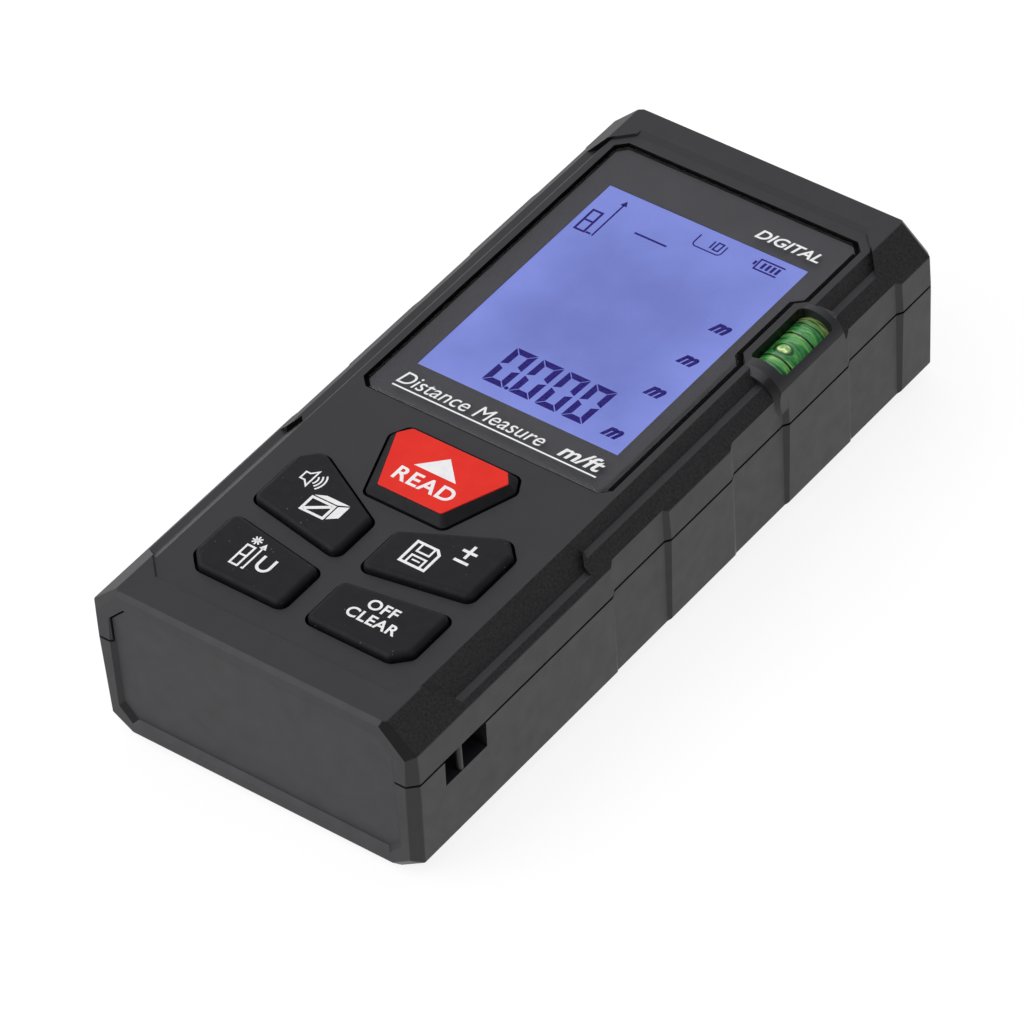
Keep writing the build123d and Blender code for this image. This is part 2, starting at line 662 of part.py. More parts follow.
# ---------- optics ----------
def optics_bracket():
    wall_y0, wall_y1 = FRONT_WALL_Y
    w = BRACKET_HALF_W
    body = block(-w, w, 14.0, wall_y1, FLOOR, FLOOR + 1.2)
    body += block(-w, w, wall_y0, wall_y1, FLOOR, BRACKET_TOP)
    body += block(-w, w, 14.6, 16.4, FLOOR, 13.0)
    for side in (1, -1):
        x0, x1 = sorted((side * w, side * (w - 1.1)))
        body += block(x0, x1, 14.0, wall_y1, FLOOR, BRACKET_EAR_Z[1])
        for x, y in BRACKET_SCREWS:
            if x * side > 0:
                e0, e1 = sorted((side * (w - 0.5), x + side * 2.2))
                body += block(e0, e1, y - 2.2, y + 2.2, *BRACKET_EAR_Z)
                body -= post(x, y, 5, 9, SMALL_SHANK_R + 0.15)
    # Saddle under the laser barrel.
    body += block(LASER_X - 3.6, LASER_X + 3.6, 26.0, 30.0, FLOOR, AXIS_Z - 2.4)
    body += block(LASER_X - 3.6, LASER_X + 3.6, 38.0, 42.0, FLOOR, AXIS_Z - 2.4)
    body -= rod(LASER_X, AXIS_Z, 20, wall_y1 - 0.8, BARREL_R + SEAT_GAP)
    body -= rod(LASER_X, AXIS_Z, 20, wall_y1 + 1, BARREL_BORE)
    body -= rod(RECEIVER_X, AXIS_Z, 46, wall_y1 - 0.6, LENS_R + SEAT_GAP)
    body -= rod(RECEIVER_X, AXIS_Z, 46, wall_y1 + 1, LENS_R - 0.6)
    return body


def laser_barrel():
    y0, y1 = BARREL_Y
    body = rod(LASER_X, AXIS_Z, y0, FRONT_WALL_Y[1] - 0.8, BARREL_R)
    body -= rod(LASER_X, AXIS_Z, y0 + 2.5, FRONT_WALL_Y[1] + 1, BARREL_BORE)
    body -= rod(LASER_X, AXIS_Z, y0 - 1, y0 + 3, 2.8)
    # Focusing grooves round the outside.
    for i in range(3):
        y = y0 + 8.0 + i * 1.4
        ring = rod(LASER_X, AXIS_Z, y, y + 0.6, BARREL_R + 1)
        body -= ring - rod(LASER_X, AXIS_Z, y - 1, y + 2, BARREL_R - 0.35)
    return body


def laser_diode():
    y0 = BARREL_Y[0]
    can = rod(LASER_X, AXIS_Z, y0 + 1.0, y0 + 2.5, 2.8) + rod(LASER_X, AXIS_Z, y0 + 2.4, y0 + 5.0, 1.9)
    for angle in (90, 210, 330):
        a = math.radians(angle)
        can += rod(LASER_X + math.cos(a), AXIS_Z + math.sin(a), y0 - 1.4, y0 + 1.2, 0.22)
    return can


def lens(x, y0, y1, r, bulge):
    """A plano-convex lens: a disc from y0 to y1, domed towards +Y."""
    dome_r = (r * r + bulge * bulge) / (2 * bulge)
    half_angle = math.asin(r / dome_r) / 2
    middle = (dome_r * math.sin(half_angle), y1 + bulge - dome_r * (1 - math.cos(half_angle)))
    rim = Polyline((0, y1 + bulge), (0, y0), (r, y0), (r, y1))
    profile = make_face([rim, ThreePointArc((r, y1), middle, (0, y1 + bulge))])
    return Pos(x, 0, AXIS_Z) * revolve(profile, Axis.Y)


def receiver_shroud():
    """A tapering light tube between the receiving lens and the photodiode."""
    y0, y1 = BOARD_Y[1] + 2.8, FRONT_WALL_Y[0]
    outer = [(0, y0), (3.4, y0), (6.3, y1), (0, y1)]
    inner = [(0, y0 - 1), (2.7, y0 - 1), (2.7, y0), (5.6, y1), (5.6, y1 + 1), (0, y1 + 1)]
    solid = revolve(make_face(Polyline(*outer, close=True)), Axis.Y)
    bore = revolve(make_face(Polyline(*inner, close=True)), Axis.Y)
    return Pos(RECEIVER_X, 0, AXIS_Z) * (solid - bore)


def receiver_board():
    return block(RECEIVER_X - 8.5, RECEIVER_X + 8.5, BOARD_Y[0], BOARD_Y[1], FLOOR + 1.2, PCB_BOTTOM - 1.0)


def front_panel():
    """The gloss black panel of the laser end, with two apertures and a flange behind the shells' wall."""
    w, z0, z1 = FRONT_OPENING
    gap = 0.12
    body = block(-w + gap, w - gap, FRONT_FLANGE_Y[0], FRONT_FACE_Y, z0 + gap, z1 - gap)
    body = chamfer(body.faces().sort_by(Axis.Y)[-1].edges(), 0.3)
    body += block(
        -w - FRONT_FLANGE, w + FRONT_FLANGE, *FRONT_FLANGE_Y, z0 - FRONT_FLANGE, z1 + FRONT_FLANGE
    )
    for x, r in ((LASER_X, 2.6), (RECEIVER_X, 5.8)):
        body -= rod(x, AXIS_Z, FRONT_FLANGE_Y[0] - 1, HALF_L, r)
        mouth = Pos(x, FRONT_FACE_Y, AXIS_Z) * Rot(-90, 0, 0)
        body -= mouth * Pos(0, 0, -0.35) * Cone(r, r + 0.8, 0.8)
    return body


def front_window(x, r):
    return rod(x, AXIS_Z, FRONT_FLANGE_Y[0] + 0.3, FRONT_FACE_Y - 0.9, r)


# ---------- electronics ----------
def main_pcb():
    body = block(-PCB_HALF_W, PCB_HALF_W, PCB_NEAR, PCB_FAR, PCB_BOTTOM, PCB_TOP)
    notch_x, y0, y1 = PCB_NOTCH
    body -= block(notch_x, 30, y0, y1, 15, 20)
    for x, y in CASE_SCREW:
        side = 1 if x > 0 else -1
        end = 1 if y > 0 else -1
        x0, x1 = sorted((x - side * (CASE_BOSS_R + 0.4), side * 30))
        y0, y1 = sorted((y - end * (CASE_BOSS_R + 0.4), end * 60))
        body -= block(x0, x1, y0, y1, 15, 20)
    for x, y in PCB_SCREWS:
        body -= post(x, y, 15, 20, SMALL_SHANK_R + 0.15)
    return body


def chips():
    """Packages on the underside of the board, each with its size in X, Y and height."""
    layout = [
        (0.0, -20.0, 9.0, 9.0, 1.2),
        (-9.5, -32.0, 5.0, 6.0, 1.1),
        (9.0, -33.0, 4.0, 4.0, 1.0),
        (9.5, 6.0, 5.0, 5.0, 2.2),
    ]
    shapes = []
    for x, y, dx, dy, dz in layout:
        chip = block(x - dx / 2, x + dx / 2, y - dy / 2, y + dy / 2, PCB_BOTTOM - dz, PCB_BOTTOM)
        shapes.append(chamfer(chip.faces().sort_by(Axis.Z)[0].edges(), 0.2))
    return solids_of(shapes)


def buzzer():
    can = post(-12.0, 6.5, PCB_BOTTOM - 2.4, PCB_BOTTOM, 4.5)
    return can - post(-12.0, 6.5, PCB_BOTTOM - 3, PCB_BOTTOM - 1.6, 0.9)


def keypad_web():
    """The thin silicone sheet round the keys, open round each flange."""
    top = INNER_TOP_Z - 0.05
    body = block(-19.0, 19.0, -49.5, -9.9, top - KEY_FLANGE_T, top)
    for x, y in CASE_SCREW + PCB_SCREWS:
        body -= post(x, y, 20, 24, CASE_BOSS_R + 0.2)
    for outline, corner in KEYS.values():
        hole = offset(rounded(outline, corner), KEY_FLANGE + 0.2)
        body -= Pos(0, 0, 20) * extrude(hole, 4.0)
    return body.solids().sort_by(SortBy.VOLUME)[-1]


def lcd_ribbon():
    """A flat flex that leaves the display's lower edge and turns down onto the board."""
    t = 0.15
    z_top = INNER_TOP_Z - 0.05
    y_end = LCD_Y[0] - 5.8
    y_bend = LCD_Y[0] - 2.6
    y_land = y_bend - 1.6
    mitre = t * math.tan(math.atan2(z_top - PCB_TOP - t, y_bend - y_land) / 2)
    upper = [(LCD_Y[0], z_top), (y_bend, z_top), (y_land, PCB_TOP + t), (y_end, PCB_TOP + t)]
    lower = [(y_end, PCB_TOP), (y_land + mitre, PCB_TOP), (y_bend + mitre, z_top - t), (LCD_Y[0], z_top - t)]
    face = make_face(Polyline(*[(0, y, z) for y, z in upper + lower], close=True))
    return Pos(-9.0, 0, 0) * extrude(face, 18.0, dir=(1, 0, 0))


def lcd_holder():
    """A moulded frame round three sides of the display, notched for the ribbon."""
    x0, x1 = LCD_X
    y0, y1 = LCD_Y[0], LIGHT_FAR
    top = INNER_TOP_Z - 0.05
    body = block(x0 - 1.3, x0 - 0.1, y0 - 1.5, y1 + 1.5, PCB_TOP, top)
    body += block(x0 - 1.3, x1, y1 + 0.1, y1 + 1.5, PCB_TOP, top)
    body += block(x0 - 1.3, x1, y0 - 1.5, y0 - 0.1, PCB_TOP, top)
    return body - block(-9.6, 9.6, y0 - 1.9, y0, PCB_TOP + 1.4, top + 1)


def laser_flex():
    """A flat flex from the laser diode's pins up to the board."""
    y = BARREL_Y[0] - 1.4
    t = 0.2
    up = block(LASER_X - 2.0, LASER_X + 2.0, y - t, y, AXIS_Z - 1.5, PCB_BOTTOM)
    return up


# ---------- build ----------
os.makedirs("parts", exist_ok=True)
outer = outer_form()
inner = hollow()
nodes = {}

nodes["upper_shell"] = upper_shell(outer, inner)
nodes["lower_shell"] = lower_shell(outer, inner)

glass_bottom = PLATEAU_Z - GLASS_T
window = plan(glass_outline(), glass_bottom, PLATEAU_Z)
nodes["display_window"] = chamfer(window.faces().sort_by(Axis.Z)[-1].edges(), GLASS_BEVEL)
mask = plan(glass_outline(), glass_bottom - MASK_T, glass_bottom)
nodes["window_mask"] = mask - block(*VIEW_X, *VIEW_Y, 20, 26)
nodes["lcd_panel"] = block(*LCD_X, *LCD_Y, LCD_TOP - LCD_T, LCD_TOP)
nodes["lcd_backlight"] = block(*LCD_X, LCD_Y[0], LIGHT_FAR, PCB_TOP + 0.1, LCD_TOP - LCD_T)
nodes["lcd_holder"] = lcd_holder()
nodes["lcd_ribbon"] = lcd_ribbon()

key_shapes = {name: key_body(*KEYS[name]) for name in KEYS if name != "key_read"}
key_shapes["key_read"] = read_key_body()
nodes["key_read_cap"] = read_cap_body()
pads = []
for name, shape in key_shapes.items():
    nodes[name], nodes["pill_" + name[4:]] = add_plunger(shape, name)
    centre = key_centre(name)
    pads.append(post(centre.X, centre.Y, PCB_TOP, PCB_TOP + 0.04, PILL_R + 0.3))
nodes["key_contact_pads"] = solids_of(pads)
nodes["keypad_web"] = keypad_web()

nodes["main_pcb"] = main_pcb()
nodes["pcb_chips"] = chips()
nodes["buzzer"] = buzzer()
nodes["laser_flex"] = laser_flex()
nodes["receiver_board"] = receiver_board()
nodes["board_header"] = block(
    RECEIVER_X - 6.0, RECEIVER_X + 6.0, BOARD_Y[0] - 0.6, BOARD_Y[1] + 0.6, PCB_BOTTOM - 1.0, PCB_BOTTOM
)

tube = rod(VIAL_X, VIAL_Z, *VIAL_Y, VIAL_R)
nodes["vial_tube"] = tube - rod(VIAL_X, VIAL_Z, *VIAL_Y, VIAL_BORE)
near_plug = rod(VIAL_X, VIAL_Z, VIAL_Y[0], VIAL_Y[0] + VIAL_PLUG, VIAL_BORE)
far_plug = rod(VIAL_X, VIAL_Z, VIAL_Y[1] - VIAL_PLUG, VIAL_Y[1], VIAL_BORE)
nodes["vial_plugs"] = solids_of([near_plug, far_plug])
bubble_z = VIAL_Z + BUBBLE_RISE
bubble = Pos(VIAL_X, BUBBLE_Y, bubble_z) * Rot(0, 90, 0) * Cylinder(BUBBLE_R, 2 * BUBBLE_HALF)
for side in (1, -1):
    bubble += Pos(VIAL_X + side * BUBBLE_HALF, BUBBLE_Y, bubble_z) * Sphere(BUBBLE_R)
nodes["vial_bubble"] = bubble
liquid = rod(VIAL_X, VIAL_Z, VIAL_Y[0] + VIAL_PLUG, VIAL_Y[1] - VIAL_PLUG, VIAL_BORE)
swept_r = BUBBLE_R + 0.1
swept_y = (BUBBLE_Y + BUBBLE_TRAVEL[0] - swept_r, BUBBLE_Y + BUBBLE_TRAVEL[1] + swept_r)
channel = block(VIAL_X - BUBBLE_HALF, VIAL_X + BUBBLE_HALF, *swept_y, bubble_z - swept_r, bubble_z + swept_r)
for side in (1, -1):
    channel += rod(VIAL_X + side * BUBBLE_HALF, bubble_z, *swept_y, swept_r)
nodes["vial_liquid"] = liquid - channel

nodes["battery_cover"] = battery_cover()
nodes["cover_pad"] = cover_pad()
nodes["battery_cell_a"] = cell(-CELL_X, 1)
nodes["battery_cell_b"] = cell(CELL_X, -1)
nodes["battery_contacts"] = battery_contacts()
nodes["battery_springs"] = solids_of([
    battery_spring(-CELL_X, BAY_NEAR + CONTACT_T, 1),
    battery_spring(CELL_X, BAY_FAR - CONTACT_T, -1),
])

nodes["front_panel"] = front_panel()
nodes["laser_window"] = front_window(LASER_X, 2.6)
nodes["receiver_window"] = front_window(RECEIVER_X, 5.8)
nodes["optics_bracket"] = optics_bracket()
nodes["laser_barrel"] = laser_barrel()
nodes["laser_diode"] = laser_diode()
nodes["collimator_lens"] = lens(LASER_X, 44.0, 45.4, BARREL_BORE, 0.8)
nodes["receiver_lens"] = lens(RECEIVER_X, FRONT_WALL_Y[0], FRONT_WALL_Y[0] + 1.0, LENS_R, 0.9)
nodes["receiver_shroud"] = receiver_shroud()
nodes["photodiode"] = rod(RECEIVER_X, AXIS_Z, BOARD_Y[1], BOARD_Y[1] + 2.6, 2.6)

nodes["case_screws"] = solids_of([
    screw(x, y, CASE_SEAT_Z, CASE_HEAD_R, 1.4, CASE_SHANK_R, 15.4) for x, y in CASE_SCREW
])
nodes["pcb_screws"] = solids_of([
    screw(x, y, PCB_BOTTOM, SMALL_HEAD_R, 0.9, SMALL_SHANK_R, 4.6) for x, y in PCB_SCREWS
])
nodes["bracket_screws"] = solids_of([
    screw(x, y, BRACKET_EAR_Z[1], SMALL_HEAD_R, 0.9, SMALL_SHANK_R, 4.8, up=-1) for x, y in BRACKET_SCREWS
])

for name, shape in nodes.items():
    export_step(shape, f"parts/{name}.step")
print(len(nodes), "nodes")
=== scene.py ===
"""Looks of the hand-held laser distance meter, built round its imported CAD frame.

Blender works in metres and in the frame's own axes. Numbers times MM are millimetres.
"""
import math

import bmesh
import bpy
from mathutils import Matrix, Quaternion, Vector


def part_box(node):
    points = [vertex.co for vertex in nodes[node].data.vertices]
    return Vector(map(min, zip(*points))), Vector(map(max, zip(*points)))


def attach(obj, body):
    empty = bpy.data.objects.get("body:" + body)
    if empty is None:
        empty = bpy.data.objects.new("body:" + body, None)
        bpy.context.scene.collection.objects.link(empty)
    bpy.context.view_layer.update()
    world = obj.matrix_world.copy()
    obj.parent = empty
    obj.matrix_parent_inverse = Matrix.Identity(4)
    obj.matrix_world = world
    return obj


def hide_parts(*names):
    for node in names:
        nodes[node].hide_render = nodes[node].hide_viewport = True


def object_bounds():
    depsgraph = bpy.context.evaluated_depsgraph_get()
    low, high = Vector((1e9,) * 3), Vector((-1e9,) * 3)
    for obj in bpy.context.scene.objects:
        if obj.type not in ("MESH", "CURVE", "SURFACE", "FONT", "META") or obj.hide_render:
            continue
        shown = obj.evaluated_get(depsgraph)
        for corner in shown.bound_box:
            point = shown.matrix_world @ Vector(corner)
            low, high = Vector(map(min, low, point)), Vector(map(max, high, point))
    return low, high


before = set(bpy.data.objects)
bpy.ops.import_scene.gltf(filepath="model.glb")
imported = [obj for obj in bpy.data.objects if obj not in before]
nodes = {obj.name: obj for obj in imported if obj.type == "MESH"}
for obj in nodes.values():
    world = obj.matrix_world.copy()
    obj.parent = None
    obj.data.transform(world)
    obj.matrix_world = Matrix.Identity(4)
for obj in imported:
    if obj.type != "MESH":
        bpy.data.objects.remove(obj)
cad_low, cad_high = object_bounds()

MM = 0.001
bpy.context.scene.view_settings.view_transform = "Standard"

# ---------- camera ----------
CAMERA_AIM = Vector((2.51, -6.16, 12.0)) * MM
CAMERA_DISTANCE = 880.2 * MM
CAMERA_AZIMUTH = math.radians(40.46)
CAMERA_ELEVATION = math.radians(42.99)
CAMERA_ROLL = math.radians(-5.05)
CAMERA_LENS = 242.95
SENSOR_WIDTH = 36.0
CLIP_NEAR, CLIP_FAR = 0.05, 20.0

back = Vector((
    math.sin(CAMERA_AZIMUTH) * math.cos(CAMERA_ELEVATION),
    -math.cos(CAMERA_AZIMUTH) * math.cos(CAMERA_ELEVATION),
    math.sin(CAMERA_ELEVATION),
))
camera_data = bpy.data.cameras.new("camera")
camera_data.lens = CAMERA_LENS
camera_data.sensor_width = SENSOR_WIDTH
camera_data.clip_start = CLIP_NEAR
camera_data.clip_end = CLIP_FAR
camera = bpy.data.objects.new("camera", camera_data)
bpy.context.scene.collection.objects.link(camera)
camera.rotation_mode = "QUATERNION"
camera.location = CAMERA_AIM + back * CAMERA_DISTANCE
camera.rotation_quaternion = (-back).to_track_quat("-Z", "Y") @ Quaternion((0, 0, 1), CAMERA_ROLL)
bpy.context.scene.camera = camera


# ---------- materials ----------
PLASTIC_IOR = 1.5


class Look:
    """A material built from noise in the object's own space. Sizes are in millimetres."""

    def __init__(self, name, metallic=0.0, specular=0.5, coat=0.0):
        self.material = bpy.data.materials.new("look_" + name)
        self.material.use_nodes = True
        self.tree = self.material.node_tree
        self.shader = self.tree.nodes["Principled BSDF"]
        self.output = self.tree.nodes["Material Output"]
        self.shader.inputs["Metallic"].default_value = metallic
        self.shader.inputs["Specular IOR Level"].default_value = specular
        self.shader.inputs["IOR"].default_value = PLASTIC_IOR
        self.shader.inputs["Coat Weight"].default_value = coat
        place = self.node("ShaderNodeTexCoord")
        self.position = place.outputs["Object"]
        self.normal = place.outputs["Normal"]
        self.last_bump = None

    def node(self, kind, **settings):
        made = self.tree.nodes.new(kind)
        for key, value in settings.items():
            setattr(made, key, value)
        return made

    def feed(self, socket, value):
        if isinstance(value, bpy.types.NodeSocket):
            self.tree.links.new(value, socket)
        else:
            socket.default_value = value

    def maths(self, operation, a, b=0.0, clamp=False):
        made = self.node("ShaderNodeMath", operation=operation, use_clamp=clamp)
        self.feed(made.inputs[0], a)
        self.feed(made.inputs[1], b)
        return made.outputs[0]

    def axes(self, vector):
        split = self.node("ShaderNodeSeparateXYZ")
        self.feed(split.inputs[0], vector)
        return split.outputs[0], split.outputs[1], split.outputs[2]

    def stretched(self, stretch):
        scale = self.node("ShaderNodeVectorMath", operation="MULTIPLY")
        self.feed(scale.inputs[0], self.position)
        scale.inputs[1].default_value = stretch
        return scale.outputs[0]

    def noise(self, size, detail=2.0, stretch=None, rough=0.5, distortion=0.0):
        made = self.node("ShaderNodeTexNoise")
        self.feed(made.inputs["Vector"], self.stretched(stretch) if stretch else self.position)
        made.inputs["Scale"].default_value = 1.0 / (size * MM)
        made.inputs["Detail"].default_value = detail
        made.inputs["Roughness"].default_value = rough
        made.inputs["Distortion"].default_value = distortion
        return made.outputs["Fac"]

    def cells(self, size, randomness=1.0, stretch=None):
        made = self.node("ShaderNodeTexVoronoi", feature="F1")
        self.feed(made.inputs["Vector"], self.stretched(stretch) if stretch else self.position)
        made.inputs["Scale"].default_value = 1.0 / (size * MM)
        made.inputs["Randomness"].default_value = randomness
        return made.outputs["Distance"]

    def between(self, value, low, high, soft=0.02):
        """1 where a value lies between two limits, with soft edges."""
        rise = self.node("ShaderNodeMapRange")
        self.feed(rise.inputs["Value"], value)
        rise.inputs["From Min"].default_value = low - soft
        rise.inputs["From Max"].default_value = low + soft
        fall = self.node("ShaderNodeMapRange")
        self.feed(fall.inputs["Value"], value)
        fall.inputs["From Min"].default_value = high + soft
        fall.inputs["From Max"].default_value = high - soft
        return self.maths("MULTIPLY", rise.outputs[0], fall.outputs[0])

    def ramp(self, value, *stops):
        """Colours or levels by value. Each stop is (place, colour or level)."""
        made = self.node("ShaderNodeValToRGB")
        points = made.color_ramp.elements
        while len(points) < len(stops):
            points.new(0.5)
        for point, (place, level) in zip(points, stops):
            point.position = place
            rgb = (level, level, level) if isinstance(level, (int, float)) else level
            point.color = (*rgb, 1.0)
        self.feed(made.inputs["Fac"], value)
        return made.outputs["Color"]

    def glow(self, value, strength):
        self.feed(self.shader.inputs["Emission Color"], value)
        self.shader.inputs["Emission Strength"].default_value = strength

    def mix(self, share, a, b, blend="MIX"):
        made = self.node("ShaderNodeMix", data_type="RGBA", blend_type=blend)
        self.feed(made.inputs["Factor"], share)
        for socket, value in ((made.inputs["A"], a), (made.inputs["B"], b)):
            self.feed(socket, value if isinstance(value, bpy.types.NodeSocket) else (*value, 1.0))
        return made.outputs["Result"]

    def color(self, value):
        self.feed(self.shader.inputs["Base Color"], value)

    def roughness(self, value):
        self.feed(self.shader.inputs["Roughness"], value)

    def bump(self, height, depth, strength=1.0):
        """Adds relief whose full height is depth millimetres."""
        made = self.node("ShaderNodeBump")
        self.feed(made.inputs["Height"], height)
        made.inputs["Distance"].default_value = depth * MM
        self.feed(made.inputs["Strength"], strength)
        if self.last_bump is not None:
            self.feed(made.inputs["Normal"], self.last_bump)
        self.last_bump = made.outputs[0]
        self.feed(self.shader.inputs["Normal"], self.last_bump)

    def thin_glass(self, tint, gloss_roughness, ior):
        """Replaces the shader with clear, thin glass that only tints and reflects."""
        clear = self.node("ShaderNodeBsdfTransparent")
        clear.inputs["Color"].default_value = (*tint, 1.0)
        gloss = self.node("ShaderNodeBsdfGlossy")
        gloss.inputs["Roughness"].default_value = gloss_roughness
        mirror = self.node("ShaderNodeFresnel")
        mirror.inputs["IOR"].default_value = ior
        if self.last_bump is not None:
            self.feed(gloss.inputs["Normal"], self.last_bump)
        side = self.node("ShaderNodeNewGeometry")
        outward = self.maths("SUBTRACT", 1.0, side.outputs["Backfacing"])
        both = self.node("ShaderNodeMixShader")
        self.feed(both.inputs[0], self.maths("MULTIPLY", mirror.outputs[0], outward))
        self.feed(both.inputs[1], clear.outputs[0])
        self.feed(both.inputs[2], gloss.outputs[0])
        self.tree.links.new(both.outputs[0], self.output.inputs["Surface"])


def grey(level, blue=1.25):
    return (level, level, level * blue)


def plain(name, low, high, size=3.0, rough=(0.4, 0.55), relief=0.01, grain=0.25, **more):
    """Moulded, cast or rolled stuff: two close tones, uneven gloss and a fine relief."""
    look = Look(name, **more)
    look.color(look.ramp(look.noise(size, 4.0), (0.3, low), (0.7, high)))
    look.roughness(look.ramp(look.noise(size * 0.4, 3.0), (0.3, rough[0]), (0.7, rough[1])))
    look.bump(look.noise(grain, 2.0), relief)
    return look


def case_look():
    """Black moulded plastic: semi-gloss on flats and sides, with a coarse grain on the bevelled bands.
    Painted shade makes the upright walls darker than the flats, the corner chamfers darker still and the
    walls of the openings near black.
    """
    look = Look("case", specular=0.42)
    nx, ny, nz = look.axes(look.normal)
    x, y, z = look.axes(look.position)
    flank = look.between(look.maths("ABSOLUTE", nx), 0.5, 0.85, 0.03)
    upward = look.between(nz, 0.5, 0.85, 0.03)
    straight = look.between(look.maths("ABSOLUTE", ny), -1.0, 0.25, 0.03)
    grained = look.maths("MULTIPLY", look.maths("MULTIPLY", flank, upward), straight)
    by_hood = look.maths(
        "MULTIPLY",
        look.between(y, HOOD_SPAN[0], HOOD_SPAN[1], 0.0001),
        look.between(x, HOOD_INNER_X, 0.05, 0.0001),
    )
    grained = look.maths("MULTIPLY", grained, look.maths("SUBTRACT", 1.0, by_hood), clamp=True)
    satin_and_painted_shade = look.ramp(look.noise(9.0, 3.0), (0.3, grey(0.0205)), (0.7, grey(0.0235)))
    # Upright walls get a darker tone than the flats: painted shade.
    upright = look.between(look.maths("ABSOLUTE", nz), -1.0, 0.3, 0.05)
    wall_painted_shade = look.ramp(look.noise(9.0, 3.0), (0.3, grey(0.0105)), (0.7, grey(0.0135)))
    satin_and_painted_shade = look.mix(upright, satin_and_painted_shade, wall_painted_shade)
    # The corner chamfers get a darker tone still: painted shade.
    corner = look.maths("MULTIPLY", look.between(look.maths("ABSOLUTE", nx), 0.35, 0.93, 0.03),
                        look.between(look.maths("ABSOLUTE", ny), 0.35, 0.93, 0.03))
    corner_painted_shade = look.ramp(look.noise(9.0, 3.0), (0.3, grey(0.003)), (0.7, grey(0.005)))
    satin_and_painted_shade = look.mix(corner, satin_and_painted_shade, corner_painted_shade)
    pits = look.noise(0.34, 1.0, rough=0.6)
    coarse = look.ramp(pits, (0.32, grey(0.005, 1.1)), (0.66, grey(0.02, 1.1)))
    outside = look.mix(grained, satin_and_painted_shade, coarse)
    # The walls of the openings in the plateau are painted near black: painted shade.
    opening_painted_shade = look.maths("MULTIPLY", look.between(look.maths("ABSOLUTE", x), -1.0, SHADED_OPENINGS[0], 0.00005),
                        look.between(look.maths("ABSOLUTE", y), -1.0, SHADED_OPENINGS[1], 0.00005))
    opening_painted_shade = look.maths("MULTIPLY", opening_painted_shade, look.between(z, SHADED_OPENINGS[2], SHADED_OPENINGS[3], 0.00005))
    look.color(look.mix(opening_painted_shade, outside, look.ramp(look.noise(3.0), (0.3, 0.001), (0.7, 0.002))))
    smooth_gloss = look.ramp(look.noise(2.5, 4.0), (0.3, 0.43), (0.7, 0.5))
    look.roughness(look.mix(grained, smooth_gloss, (0.56, 0.56, 0.56)))
    look.bump(look.noise(0.12, 2.0), 0.004)
    look.bump(pits, 0.05, grained)
    return look


# Walls of the openings in the plateau, which are painted near black as shade: half width, half length, and
# the heights they lie between.
SHADED_OPENINGS = (20.2 * MM, 49.6 * MM, 2.0 * MM, 24.84 * MM)
HOOD_SPAN = (20.4 * MM, 36.4 * MM)
HOOD_INNER_X = 17.0 * MM
TAN_BAND = (33.0 * MM, 33.8 * MM)

CASE = case_look()


def rubber_look(name, low, high):
    """Soft matt rubber with a few pale specks of dust."""
    look = Look(name, specular=0.2)
    body = look.ramp(look.noise(1.6, 4.0), (0.3, low), (0.7, high))
    dust = look.ramp(look.cells(0.95), (0.05, 1.0), (0.085, 0.0))
    patch = look.ramp(look.noise(2.6, 2.0), (0.46, 0.0), (0.62, 0.8))
    look.color(look.mix(look.maths("MULTIPLY", dust, patch), body, (0.32, 0.32, 0.33)))
    look.roughness(look.ramp(look.noise(0.8, 4.0), (0.3, 0.5), (0.7, 0.62)))
    look.bump(look.noise(0.16, 2.0), 0.008)
    return look


def lcd_look():
    """A lit negative display: periwinkle glow, a little paler at the edges, through a fine diffuser grain."""
    look = Look("lcd", specular=0.2)
    low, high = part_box("lcd_panel")
    middle, half = (low + high) / 2, (high - low) / 2
    x, y, _ = look.axes(look.position)
    from_x = look.maths("DIVIDE", look.maths("ABSOLUTE", look.maths("SUBTRACT", x, middle.x)), half.x)
    from_y = look.maths("DIVIDE", look.maths("ABSOLUTE", look.maths("SUBTRACT", y, middle.y)), half.y)
    edge = look.maths("MAXIMUM", from_x, from_y)
    spread = look.ramp(edge, (0.45, 0.0), (1.0, 1.0))
    cloud = look.noise(7.0, 3.0)
    share = look.maths("ADD", look.maths("MULTIPLY", spread, 0.45), look.maths("MULTIPLY", cloud, 0.6))
    glow = look.ramp(share, (0.2, (0.14, 0.18, 0.53)), (0.8, (0.215, 0.268, 0.72)))
    grain = look.ramp(look.noise(0.18, 1.0), (0.3, 0.94), (0.7, 1.04))
    lit = look.mix(1.0, glow, grain, "MULTIPLY")
    look.color((0.02, 0.02, 0.05, 1.0))
    look.roughness(0.5)
    look.glow(lit, 1.0)
    return look


def ink_look(name, low, high, glow):
    """A printed or switched mark, a little uneven, with a glow of its own: on the lit display it stands for
    the backlight, on plain print it is painted light.
    """
    look = plain(name, low, high, size=0.8, rough=(0.5, 0.6), relief=0.002, grain=0.1, specular=0.1)
    look.glow(look.ramp(look.noise(0.8), (0.3, low), (0.7, high)), glow)
    return look


def glass_look(name, tint, rough, ior):
    """Clear or tinted glass or acrylic, with a faint waviness."""
    look = Look(name)
    look.bump(look.noise(6.0, 1.0), 0.01)
    look.thin_glass(tint, rough, ior)
    return look


# The level's fluid and bubble glow though they are no lamps: painted light.
LEVEL_GLOW = 0.3


